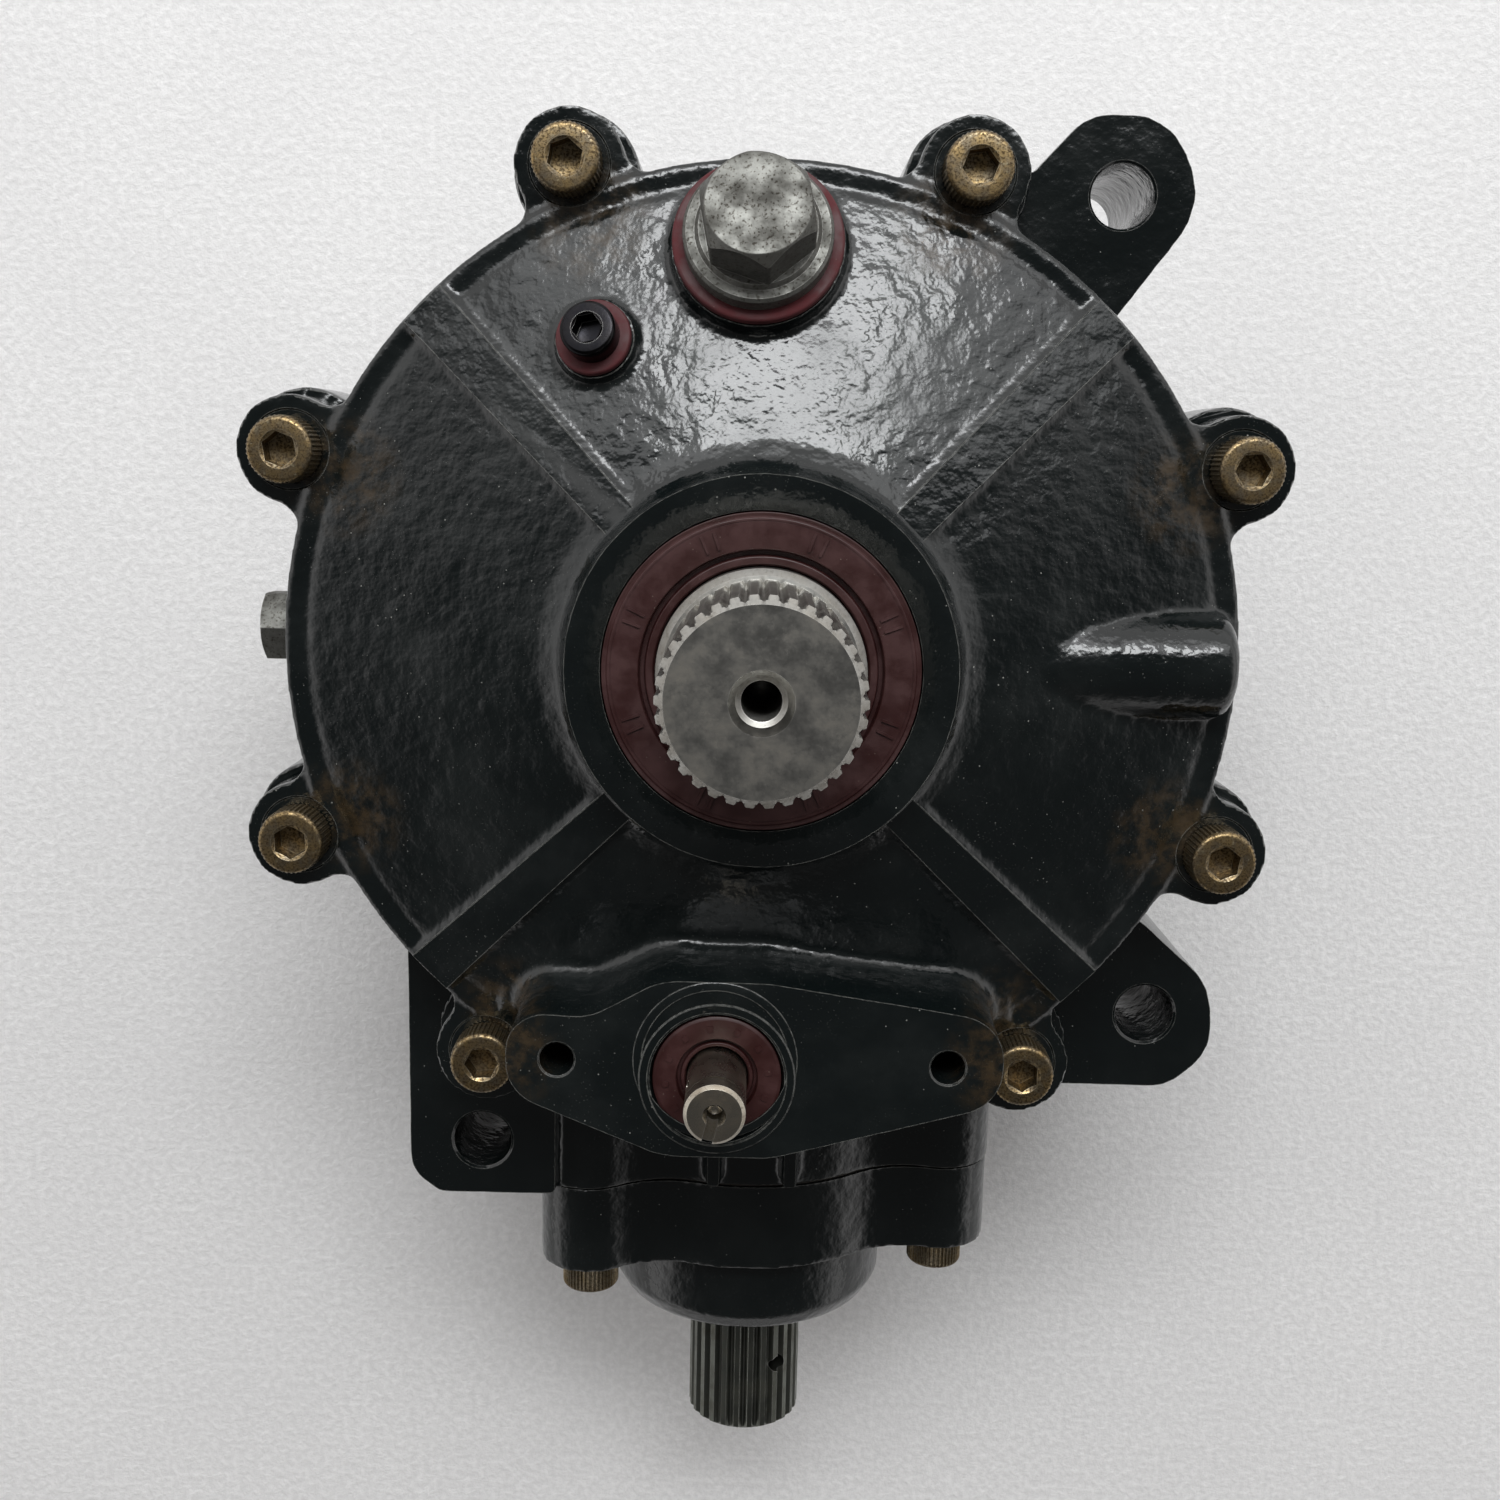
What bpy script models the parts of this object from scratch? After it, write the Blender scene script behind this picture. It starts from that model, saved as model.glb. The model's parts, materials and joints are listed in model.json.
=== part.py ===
"""Right-angle planetary gearbox with a selector shaft.

Frame: +Z runs up the output shaft, the input shaft points along -Y, and the
origin is on the output axis in the plane of the flat back of the housing.
All dimensions below are in millimetres and are scaled to metres once.
"""
import math

import bmesh
import bpy
from mathutils import Matrix, Vector

MM = 0.001

# Stack heights above the back face of the housing
INPUT_Z = 60.0
FLANGE_Z = 115.2
COVER_Z = 116.0
LUG_TOP_Z = 128.2
SPOT_FACE_Z = 128.0
RIM_TOP_Z = 129.6
HUB_Z = 156.3
PAD_Z = 155.0
OUTPUT_END_Z = 192.3
SELECTOR_END_Z = 172.7
EAR_TOP_Z = 107.0
EAR_THICKNESS = 46.0
EAR_HOLES = ((70.6, 92.0), (85.8, -79.5), (-59.4, -112.2))
EAR_HOLE_RADIUS = 6.4

# Cover
RIM_RADIUS = 94.2
CONE_OUTER = (88.3, 130.4)
CONE_INNER = (42.0, 145.4)
BOLT_CIRCLE = 100.0
LUG_RADIUS = 10.6
LOW_BOLTS = ((-54.8, -83.4), (54.8, -83.4))

# Output side
SEAL_RADIUS = 29.2
JOURNAL_RADIUS = 19.3
OUTPUT_TEETH = 34
OUTPUT_TIP_RADIUS = 17.4

# Input side, distances measured along the input axis from the output axis
INPUT_TEETH = 26
INPUT_TIP_RADIUS = 13.9
INPUT_END = 203.0
RETAINER_START = 125.6
RETAINER_FACE = 145.5
RETAINER_END = 165.6
RETAINER_BOLT_CIRCLE = 48.5
RETAINER_BOLT_ANGLES = (19.5, 139.0, 259.0)

# Selector shaft
SELECTOR_X = -6.7
SELECTOR_Y = -78.0
SELECTOR_RADIUS = 5.65
SELECTOR_THROW = 6.7
SELECTOR_REST = math.radians(-25.0)

# Planetary stage and bevel pair
SPUR_MODULE = 2.5
SUN_TEETH = 18
PLANET_TEETH = 15
RING_TEETH = 48
PLANET_CENTRE = 41.25
PLANET_ANGLES = (90.0, 210.0, 330.0)
BEVEL_MODULE = 3.5
CROWN_TEETH = 30
PINION_TEETH = 12
CONE_LENGTH = 56.5
FACE_LENGTH = 14.0

GAP = 0.4


def clear_scene():
    for item in list(bpy.data.objects):
        bpy.data.objects.remove(item, do_unlink=True)
    for group in list(bpy.data.collections):
        bpy.data.collections.remove(group)


def make_collection(name):
    group = bpy.data.collections.new(name)
    bpy.context.scene.collection.children.link(group)
    return group


def material(name, colour, roughness, metallic):
    mat = bpy.data.materials.new(name)
    mat.use_nodes = True
    shader = mat.node_tree.nodes["Principled BSDF"]
    shader.inputs["Base Color"].default_value = (*colour, 1.0)
    shader.inputs["Roughness"].default_value = roughness
    shader.inputs["Metallic"].default_value = metallic
    mat.diffuse_color = (*colour, 1.0)
    return mat


clear_scene()
GEARBOX = make_collection("planetary_gearbox")
CUTTERS = make_collection("construction")

BLACK_PAINT = material("black_paint", (0.012, 0.014, 0.015), 0.25, 0.0)
MACHINED = material("machined_steel", (0.42, 0.41, 0.39), 0.35, 1.0)
ZINC = material("yellow_zinc", (0.38, 0.30, 0.18), 0.45, 1.0)
GALVANISED = material("galvanised_steel", (0.36, 0.36, 0.34), 0.5, 1.0)
BLACK_OXIDE = material("black_oxide_steel", (0.04, 0.04, 0.04), 0.4, 1.0)
RED_WASHER = material("red_fibre", (0.25, 0.02, 0.03), 0.6, 0.0)
SEAL_RUBBER = material("brown_seal_rubber", (0.10, 0.03, 0.025), 0.55, 0.0)
BEARING_STEEL = material("bearing_steel", (0.55, 0.55, 0.54), 0.25, 1.0)
GEAR_STEEL = material("gear_steel", (0.33, 0.32, 0.31), 0.38, 1.0)
GASKET_PAPER = material("gasket_paper", (0.12, 0.10, 0.08), 0.8, 0.0)


def place(obj, group, mat=None):
    for owner in list(obj.users_collection):
        owner.objects.unlink(obj)
    group.objects.link(obj)
    if mat is not None:
        obj.data.materials.clear()
        obj.data.materials.append(mat)
    if group is CUTTERS:
        obj.hide_render = True
        obj.display_type = "WIRE"
    return obj


def along_input(obj):
    """Stand a part built along local Z on the input axis, running to -Y."""
    obj.location = (0.0, 0.0, INPUT_Z * MM)
    obj.rotation_euler = (math.radians(90.0), 0.0, 0.0)
    return obj


def lathe(name, profile, steps, group, mat=None, closed=True):
    mesh = bpy.data.meshes.new(name)
    verts = [(r * MM, 0.0, z * MM) for r, z in profile]
    edges = [(i, i + 1) for i in range(len(profile) - 1)]
    if closed:
        edges.append((len(profile) - 1, 0))
    mesh.from_pydata(verts, edges, [])
    obj = bpy.data.objects.new(name, mesh)
    screw = obj.modifiers.new("Lathe", "SCREW")
    screw.axis = "Z"
    screw.steps = steps
    screw.render_steps = steps
    screw.use_merge_vertices = True
    screw.merge_threshold = 0.00001
    screw.use_smooth_shade = True
    place(obj, group, mat)
    return obj


def cylinder(name, radius, z0, z1, sides, group, mat=None, radius_top=None):
    mesh = bpy.data.meshes.new(name)
    bm = bmesh.new()
    bmesh.ops.create_cone(
        bm,
        cap_ends=True,
        segments=sides,
        radius1=radius * MM,
        radius2=(radius if radius_top is None else radius_top) * MM,
        depth=(z1 - z0) * MM,
        matrix=Matrix.Translation((0.0, 0.0, (z0 + z1) / 2 * MM)),
    )
    bm.to_mesh(mesh)
    bm.free()
    return place(bpy.data.objects.new(name, mesh), group, mat)


def block(name, size, centre, group, mat=None):
    mesh = bpy.data.meshes.new(name)
    bm = bmesh.new()
    scale = Matrix.Diagonal((size[0] * MM, size[1] * MM, size[2] * MM, 1.0))
    shift = Matrix.Translation(Vector(centre) * MM)
    bmesh.ops.create_cube(bm, size=1.0, matrix=shift @ scale)
    bm.to_mesh(mesh)
    bm.free()
    return place(bpy.data.objects.new(name, mesh), group, mat)


def face_outwards(bm):
    bmesh.ops.recalc_face_normals(bm, faces=bm.faces)
    if bm.calc_volume(signed=True) < 0.0:
        bmesh.ops.reverse_faces(bm, faces=bm.faces)


def prism(name, outlines, z0, z1, group, mat=None):
    """A flat plate between z0 and z1; the first outline is the edge, the rest are holes."""
    curve = bpy.data.curves.new(name, "CURVE")
    curve.dimensions = "2D"
    curve.fill_mode = "BOTH"
    curve.extrude = (z1 - z0) / 2 * MM
    for outline in outlines:
        spline = curve.splines.new("POLY")
        spline.points.add(len(outline) - 1)
        for point, (x, y) in zip(spline.points, outline):
            point.co = (x * MM, y * MM, 0.0, 1.0)
        spline.use_cyclic_u = True
    source = bpy.data.objects.new(name + "_outline", curve)
    bpy.context.scene.collection.objects.link(source)
    bpy.context.view_layer.update()
    mesh = bpy.data.meshes.new_from_object(source)
    bpy.data.objects.remove(source, do_unlink=True)
    bm = bmesh.new()
    bm.from_mesh(mesh)
    bmesh.ops.remove_doubles(bm, verts=bm.verts, dist=0.000001)
    bmesh.ops.translate(bm, verts=bm.verts, vec=(0.0, 0.0, (z0 + z1) / 2 * MM))
    face_outwards(bm)
    bm.to_mesh(mesh)
    bm.free()
    mesh.name = name
    return place(bpy.data.objects.new(name, mesh), group, mat)


def loft(name, sections, group, mat=None):
    """Skin a solid through closed sections that have the same number of points."""
    mesh = bpy.data.meshes.new(name)
    bm = bmesh.new()
    rings = [[bm.verts.new(Vector(p) * MM) for p in section] for section in sections]
    count = len(rings[0])
    for low, high in zip(rings, rings[1:]):
        for i in range(count):
            j = (i + 1) % count
            bm.faces.new((low[i], low[j], high[j], high[i]))
    bm.faces.new(list(reversed(rings[0])))
    bm.faces.new(rings[-1])
    face_outwards(bm)
    bm.to_mesh(mesh)
    bm.free()
    return place(bpy.data.objects.new(name, mesh), group, mat)


def combine(target, tool, operation):
    step = target.modifiers.new(tool.name, "BOOLEAN")
    step.operation = operation
    step.solver = "EXACT"
    step.object = tool
    return step


def add(target, tool):
    return combine(target, tool, "UNION")


def cut(target, tool):
    return combine(target, tool, "DIFFERENCE")


def smooth(obj, angle=35.0):
    for face in obj.data.polygons:
        face.use_smooth = True
    obj.data.set_sharp_from_angle(angle=math.radians(angle))


def arc(cx, cy, radius, start, end, count):
    points = []
    for i in range(count + 1):
        a = math.radians(start + (end - start) * i / count)
        points.append((cx + radius * math.cos(a), cy + radius * math.sin(a)))
    return points


def circle(cx, cy, radius, count, phase=0.0):
    return arc(cx, cy, radius, phase, phase + 360.0, count)[:-1]


def rounded(corners, steps=4):
    """Polygon with each corner (x, y, r) rounded to its radius."""
    points = []
    total = len(corners)
    for i, (x, y, r) in enumerate(corners):
        here = Vector((x, y))
        before = Vector(corners[i - 1][:2]) - here
        after = Vector(corners[(i + 1) % total][:2]) - here
        if r <= 0.0:
            points.append((x, y))
            continue
        half = before.angle(after) / 2
        reach = min(r / math.tan(half), before.length * 0.49, after.length * 0.49)
        radius = reach * math.tan(half)
        start = here + before.normalized() * reach
        middle = (before.normalized() + after.normalized()).normalized()
        centre = here + middle * (radius / math.sin(half))
        first = start - centre
        last = here + after.normalized() * reach - centre
        turn = first.angle_signed(last)
        for k in range(steps + 1):
            spin = Matrix.Rotation(-turn * k / steps, 2)
            spot = centre + spin @ first
            points.append((spot.x, spot.y))
    return points


def turned(points, degrees, dx=0.0, dy=0.0):
    a = math.radians(degrees)
    c = math.cos(a)
    s = math.sin(a)
    return [(x * c - y * s + dx, x * s + y * c + dy) for x, y in points]


def flange_outline(rim, places, radius, fillet, step=9.0):
    """Round flange whose bolt lugs are circles blended in by fillets."""
    blends = []
    for x, y in places:
        centre = math.hypot(x, y)
        a = rim + fillet
        b = radius + fillet
        lean = math.degrees(math.acos((a * a + centre * centre - b * b) / (2 * a * centre)))
        fx = a * math.cos(math.radians(lean))
        fy = a * math.sin(math.radians(lean))
        touch = math.degrees(math.atan2(fy, fx - centre))
        upper = arc(fx, fy, fillet, touch + 180.0, lean + 180.0, 2)
        nose = arc(centre, 0.0, radius, -touch, touch, 6)
        lower = [(px, -py) for px, py in reversed(upper)]
        bearing = math.degrees(math.atan2(y, x)) % 360.0
        blends.append((bearing, lean, turned(lower + nose[1:-1] + upper, bearing)))
    blends.sort()
    points = []
    for k, (bearing, lean, lug) in enumerate(blends):
        points += lug
        after = blends[(k + 1) % len(blends)]
        start = bearing + lean
        end = after[0] - after[1]
        while end < start:
            end += 360.0
        count = max(1, round((end - start) / step))
        points += arc(0.0, 0.0, rim, start, end, count)[1:-1]
    return points


def gear_outline(teeth, module, backlash, addendum, dedendum, phase=0.0, internal=False):
    """Spur gear outline whose flanks join the involute's root and tip points."""
    pitch = teeth * module / 2
    base = pitch * math.cos(math.radians(20.0))
    if internal:
        near = pitch - addendum
        far = pitch + dedendum
    else:
        near = pitch - dedendum
        far = pitch + addendum
    half = math.pi / (2 * teeth) - backlash / (4 * pitch)
    if internal:
        half = math.pi / (2 * teeth) + backlash / (4 * pitch)
    pressure = math.radians(20.0)
    involute = math.tan(pressure) - pressure

    def width(radius):
        if radius <= base:
            return half + involute
        angle = math.acos(base / radius)
        return half + involute - (math.tan(angle) - angle)

    points = []
    for k in range(teeth):
        mid = phase + 2 * math.pi * k / teeth
        flank = [(near, width(near)), (far, width(far))]
        for radius, w in flank:
            points.append((radius * math.cos(mid - w), radius * math.sin(mid - w)))
        for radius, w in reversed(flank):
            points.append((radius * math.cos(mid + w), radius * math.sin(mid + w)))
    return points


def spline_outline(teeth, tip, root, tip_share=0.30, root_share=0.62):
    """Straight-sided spline teeth, evenly spaced."""
    points = []
    step = 2 * math.pi / teeth
    for k in range(teeth):
        mid = k * step
        for radius, share, side in ((root, root_share, -1), (tip, tip_share, -1),
                                    (tip, tip_share, 1), (root, root_share, 1)):
            a = mid + side * share * step / 2
            points.append((radius * math.cos(a), radius * math.sin(a)))
    return points


def spline_end(name, outline, z0, z1, end_radius, chamfer):
    """Splined end whose teeth run out into a chamfered face."""
    face = []
    for x, y in outline:
        scale = end_radius / math.hypot(x, y)
        face.append((x * scale, y * scale, z1))
    low = [(x, y, z0) for x, y in outline]
    shoulder = [(x, y, z1 - chamfer) for x, y in outline]
    return loft(name, [low, shoulder, face], CUTTERS)


def bevel_teeth(name, teeth, pitch_angle, phase, group):
    """Straight bevel teeth about +Z with their apex at the origin."""
    mesh = bpy.data.meshes.new(name)
    bm = bmesh.new()
    pressure = math.tan(math.radians(20.0))
    thickness = math.pi * BEVEL_MODULE / 2 - 0.55
    levels = ((-4.6, thickness + 7.4 * pressure), (2.5, thickness - 5.0 * pressure))
    for k in range(teeth):
        mid = phase + 2 * math.pi * k / teeth
        rings = []
        for reach in (CONE_LENGTH - FACE_LENGTH, CONE_LENGTH):
            scale = reach / CONE_LENGTH
            corners = []
            for height, wide in levels:
                tilt = pitch_angle + height / CONE_LENGTH
                spread = wide / 2 / (CONE_LENGTH * math.sin(tilt))
                corners.append((tilt, spread))
            ring = []
            order = ((0, -1), (1, -1), (1, 1), (0, 1))
            for index, side in order:
                tilt, spread = corners[index]
                a = mid + side * spread
                radius = CONE_LENGTH * scale * math.sin(tilt)
                z = CONE_LENGTH * scale * math.cos(tilt)
                ring.append(bm.verts.new((radius * math.cos(a) * MM, radius * math.sin(a) * MM, z * MM)))
            rings.append(ring)
        low, high = rings
        for i in range(4):
            j = (i + 1) % 4
            bm.faces.new((low[i], low[j], high[j], high[i]))
        bm.faces.new(list(reversed(low)))
        bm.faces.new(high)
    face_outwards(bm)
    bm.to_mesh(mesh)
    bm.free()
    return place(bpy.data.objects.new(name, mesh), group)


def cone_height(radius):
    slope = (CONE_INNER[1] - CONE_OUTER[1]) / (CONE_OUTER[0] - CONE_INNER[0])
    return CONE_OUTER[1] + (CONE_OUTER[0] - radius) * slope


# ---------------------------------------------------------------- housing
def bolt_places():
    places = []
    for angle in (112.5, 67.5, 157.5, 22.5, 202.5, -22.5):
        a = math.radians(angle)
        places.append((BOLT_CIRCLE * math.cos(a), BOLT_CIRCLE * math.sin(a)))
    return places + list(LOW_BOLTS)


BOLTS = bolt_places()
RETAINER_BOLTS = []
for degrees in RETAINER_BOLT_ANGLES:
    RETAINER_BOLTS.append((RETAINER_BOLT_CIRCLE * math.cos(math.radians(degrees)),
                           RETAINER_BOLT_CIRCLE * math.sin(math.radians(degrees))))


def build_housing():
    profile = [
        (0.0, 12.6), (31.4, 12.6), (31.4, 29.5), (38.5, 29.5), (38.5, 14.5),
        (66.0, 14.5), (66.0, 98.0), (71.5, 98.0), (71.5, FLANGE_Z - 0.2),
        (80.0, FLANGE_Z - 0.2), (80.0, 22.0), (66.0, 3.0), (58.0, 0.0), (0.0, 0.0),
    ]
    housing = lathe("housing", profile, 32, GEARBOX, BLACK_PAINT, closed=False)

    pedestal = along_input(cylinder("pinion_pedestal", 33.2, 55.8, 82.0, 20, CUTTERS))
    add(housing, pedestal)
    neck = prism("neck", [flange_outline(39.6, RETAINER_BOLTS, 11.8, 20.0)], 76.0, 125.0, CUTTERS)
    add(housing, along_input(neck))
    holes = [circle(x, y, 4.5, 8) for x, y in BOLTS]
    flange = prism("housing_flange", [flange_outline(92.0, BOLTS, 12.4, 6.0),
                   circle(0.0, 0.0, 76.0, 32)] + holes,
                   93.0, FLANGE_Z, CUTTERS)
    add(housing, flange)
    corner = [(46.0, 60.0, 0.0), (45.0, 88.0, 0.0), (51.0, 94.5, 4.0), (62.9, 107.6, 11.0),
              (79.2, 107.6, 13.5), (87.4, 90.8, 13.5), (71.0, 68.6, 0.0), (58.0, 54.0, 0.0)]
    right = [(62.0, -50.0, 0.0), (79.0, -54.4, 0.0), (99.4, -72.2, 14.0), (101.4, -87.5, 13.0),
             (91.6, -96.2, 11.0), (64.0, -96.0, 0.0), (50.0, -70.0, 0.0)]
    left = [(-75.6, -50.0, 0.0), (-75.6, -119.5, 7.5), (-69.0, -124.8, 5.0), (-43.1, -124.8, 0.0),
            (-43.1, -53.0, 0.0)]
    for name, outline in (("ear_top_right", corner), ("ear_right", right), ("ear_left", left)):
        ear = prism(name, [rounded(outline, 4)], EAR_TOP_Z - EAR_THICKNESS, EAR_TOP_Z, CUTTERS)
        add(housing, ear)
    selector_boss = cylinder("selector_tower", 13.0, 78.0, FLANGE_Z - 0.4, 16, CUTTERS)
    selector_boss.location = (SELECTOR_X * MM, SELECTOR_Y * MM, 0.0)
    add(housing, selector_boss)
    drain = cylinder("level_boss", 11.5, 70.0, 97.0, 20, CUTTERS)
    drain.location = (0.0, 0.0, 90.0 * MM)
    drain.rotation_euler = (0.0, math.radians(-90.0), 0.0)
    add(housing, drain)

    bore = along_input(lathe("input_bore", [
        (0.0, 130.0), (35.3, 130.0), (35.3, 120.5), (31.7, 120.5), (31.7, 105.0), (26.8, 105.0),
        (26.8, 69.0), (27.9, 69.0), (27.9, 50.0), (0.0, 50.0)], 24, CUTTERS, closed=False))
    cut(housing, bore)
    for k, (x, z) in enumerate(RETAINER_BOLTS):
        hole = along_input(cylinder("neck_thread_%d" % (k + 1), 4.5, 104.0, 126.0, 8, CUTTERS))
        hole.location = (x * MM, 0.0, (INPUT_Z + z) * MM)
        cut(housing, hole)
    for k, (x, y) in enumerate(LOW_BOLTS):
        hole = cylinder("low_thread_%d" % (k + 1), 4.5, 96.5, 118.0, 8, CUTTERS)
        hole.location = (x * MM, y * MM, 0.0)
        hole.rotation_euler = (0.0, 0.0, math.radians(22.5))
        cut(housing, hole)
    cut(housing, cylinder("ring_seat", 71.8, 98.0, 120.0, 32, CUTTERS))
    for k, (x, y) in enumerate(EAR_HOLES):
        hole = cylinder("ear_hole_%d" % (k + 1), EAR_HOLE_RADIUS, EAR_TOP_Z - EAR_THICKNESS - 2.0,
                        EAR_TOP_Z + 2.0, 14, CUTTERS)
        hole.location = (x * MM, y * MM, 0.0)
        cut(housing, hole)
    stem = cylinder("selector_bore", 6.2, 84.0, 118.0, 14, CUTTERS)
    stem.location = (SELECTOR_X * MM, SELECTOR_Y * MM, 0.0)
    cut(housing, stem)
    pocket = cylinder("selector_pocket", 10.8, 70.0, 91.2, 18, CUTTERS)
    pocket.location = (SELECTOR_X * MM, SELECTOR_Y * MM, 0.0)
    cut(housing, pocket)
    tapping = cylinder("level_thread", 5.4, 60.0, 100.0, 14, CUTTERS)
    tapping.location = (0.0, 0.0, 90.0 * MM)
    tapping.rotation_euler = (0.0, math.radians(-90.0), 0.0)
    cut(housing, tapping)
    return housing


# ------------------------------------------------------------------ cover
FILLER_SEAT = (-2.3, 77.6, 137.6)
VENT_SEAT = (-32.2, 59.6, 139.4)


def tilted_frame(seat, lean=17.9):
    """Location and rotation whose local +Z leans away from the output axis."""
    bearing = math.atan2(seat[1], seat[0])
    turn = Matrix.Rotation(bearing, 4, "Z") @ Matrix.Rotation(math.radians(lean), 4, "Y")
    return Matrix.Translation(Vector(seat) * MM) @ turn


def pad_outline():
    corners = [
        (-47.0, -65.6, 9.0), (-31.0, -66.2, 10.0), (-17.5, -58.7, 14.0), (3.0, -58.9, 16.0),
        (48.0, -65.6, 10.0), (47.6, -82.0, 9.0), (4.0, -93.8, 16.0), (-17.0, -93.8, 16.0),
        (-47.0, -81.5, 9.0),
    ]
    return rounded(corners, 3)


def build_cover():
    profile = [
        (0.0, HUB_Z), (35.4, HUB_Z), (36.0, HUB_Z - 0.7), (37.0, 149.0), (38.6, 146.8),
        CONE_INNER, CONE_OUTER, (89.6, RIM_TOP_Z), (93.6, RIM_TOP_Z), (RIM_RADIUS, RIM_TOP_Z - 0.6),
        (RIM_RADIUS, COVER_Z + 4.0), (0.0, COVER_Z + 4.0),
    ]
    cover = lathe("cover", profile, 40, GEARBOX, BLACK_PAINT, closed=False)
    flange = prism("cover_flange", [flange_outline(RIM_RADIUS - 0.3, BOLTS, LUG_RADIUS, 5.0)],
                   COVER_Z, LUG_TOP_Z, CUTTERS)
    add(cover, flange)
    for k, angle in enumerate((45.0, 135.0, 225.0, 315.0)):
        sections = []
        for radius, half, top in ((35.5, 3.4, cone_height(38.0) + 1.3), (86.5, 4.6, cone_height(86.5) + 1.3),
                                  (93.5, 4.8, RIM_TOP_Z + 0.9)):
            low = [(radius, -half - 0.5), (radius, half + 0.5)]
            high = [(radius, half), (radius, -half)]
            floor = [(x, y, top - 5.0) for x, y in turned(low, angle)]
            roof = [(x, y, top) for x, y in turned(high, angle)]
            sections.append(floor + roof)
        add(cover, loft("band_%d" % (k + 1), sections, CUTTERS))
    top = [(x, y, PAD_Z) for x, y in pad_outline()]
    foot = []
    for x, y in pad_outline():
        behind = max(0.0, 1.0 - (x / 52.0) ** 2)
        push = 1.0 + 4.0 * behind if y > -72.0 else -0.3
        foot.append((x * 1.03, y + push, COVER_Z + 6.0))
    add(cover, loft("selector_pad", [foot, top], CUTTERS))
    bulge = cylinder("side_bulge", 10.2, 45.0, 87.8, 24, CUTTERS)
    bulge.location = (0.0, 0.4 * MM, 131.4 * MM)
    bulge.rotation_euler = (0.0, math.radians(90.0), 0.0)
    add(cover, bulge)
    nose = cylinder("side_bulge_end", 10.2, 87.8, 90.6, 24, CUTTERS, radius_top=7.6)
    nose.location = (0.0, 0.4 * MM, 131.4 * MM)
    nose.rotation_euler = (0.0, math.radians(90.0), 0.0)
    add(cover, nose)
    filler_boss = cylinder("filler_boss", 16.3, -14.0, 0.0, 24, CUTTERS)
    filler_boss.matrix_world = tilted_frame(FILLER_SEAT)
    add(cover, filler_boss)
    vent_boss = cylinder("vent_boss", 7.6, -10.0, 0.0, 16, CUTTERS)
    vent_boss.matrix_world = tilted_frame(VENT_SEAT)
    add(cover, vent_boss)

    inside = lathe("cover_inside", [
        (0.0, 160.0), (37.8, 160.0), (29.5, HUB_Z - 1.4), (29.5, 147.3), (27.0, 147.3),
        (27.0, 144.7), (34.3, 144.7), (34.3, 129.0), (40.0, 129.0), (42.5, 136.8),
        (82.0, 124.0), (84.0, 110.0), (0.0, 110.0)], 28, CUTTERS, closed=False)
    cut(cover, inside)
    tower = cylinder("selector_sleeve", 12.5, 116.2, 138.0, 16, CUTTERS)
    tower.location = (SELECTOR_X * MM, SELECTOR_Y * MM, 0.0)
    add(cover, tower)
    for k, (x, y) in enumerate(BOLTS):
        hole = cylinder("cover_hole_%d" % (k + 1), 4.5, 114.0, 130.0, 8, CUTTERS)
        hole.location = (x * MM, y * MM, 0.0)
        cut(cover, hole)
        seat = cylinder("bolt_seat_%d" % (k + 1), 7.4, SPOT_FACE_Z, 142.0, 12, CUTTERS)
        seat.location = (x * MM, y * MM, 0.0)
        cut(cover, seat)
    stem = cylinder("sleeve_bore", 6.2, 112.0, 150.0, 14, CUTTERS)
    stem.location = (SELECTOR_X * MM, SELECTOR_Y * MM, 0.0)
    cut(cover, stem)
    pocket = cylinder("selector_seal_pocket", 12.5, 148.0, 158.0, 28, CUTTERS)
    pocket.location = (SELECTOR_X * MM, SELECTOR_Y * MM, 0.0)
    cut(cover, pocket)
    for k, x in enumerate((-37.25, 37.25)):
        tapped = cylinder("pad_thread_%d" % (k + 1), 3.3, 138.0, 157.0, 12, CUTTERS)
        tapped.location = (x * MM, -74.8 * MM, 0.0)
        cut(cover, tapped)
    filler_hole = cylinder("filler_thread", 11.3, -26.0, 2.0, 20, CUTTERS)
    filler_hole.matrix_world = tilted_frame(FILLER_SEAT)
    cut(cover, filler_hole)
    vent_hole = cylinder("vent_thread", 3.6, -20.0, 2.0, 12, CUTTERS)
    vent_hole.matrix_world = tilted_frame(VENT_SEAT)
    cut(cover, vent_hole)
    return cover


def build_gasket():
    holes = [circle(x, y, 4.6, 8) for x, y in BOLTS]
    holes.append(circle(SELECTOR_X, SELECTOR_Y, 6.5, 12))
    inner = circle(0.0, 0.0, 73.0, 28)
    return prism("cover_gasket", [flange_outline(92.0, BOLTS, 9.6, 5.0), inner] + holes,
                 FLANGE_Z + 0.1, COVER_Z - 0.1, GEARBOX, GASKET_PAPER)


# ------------------------------------------------------------- fasteners
def socket_screw(name, reach, mat=ZINC):
    """M8 socket head cap screw: seat at local z = 0, head up, shank down."""
    profile = [
        (0.0, 8.0), (6.1, 8.0), (6.5, 7.6), (6.5, 0.05), (3.85, 0.05), (3.85, -reach), (0.0, -reach),
    ]
    screw = lathe(name, profile, 14, GEARBOX, mat, closed=False)
    socket = cylinder(name + "_socket", 6.0 / math.sqrt(3.0), 3.8, 9.0, 6, CUTTERS)
    cut(screw, socket)
    return screw, socket


def build_cover_bolts():
    for k, (x, y) in enumerate(BOLTS):
        bolt, socket = socket_screw("cover_bolt_%d" % (k + 1), 30.0)
        for item in (bolt, socket):
            item.location = (x * MM, y * MM, SPOT_FACE_Z * MM)
            item.rotation_euler = (0.0, 0.0, math.radians(23.0 * k))


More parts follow.
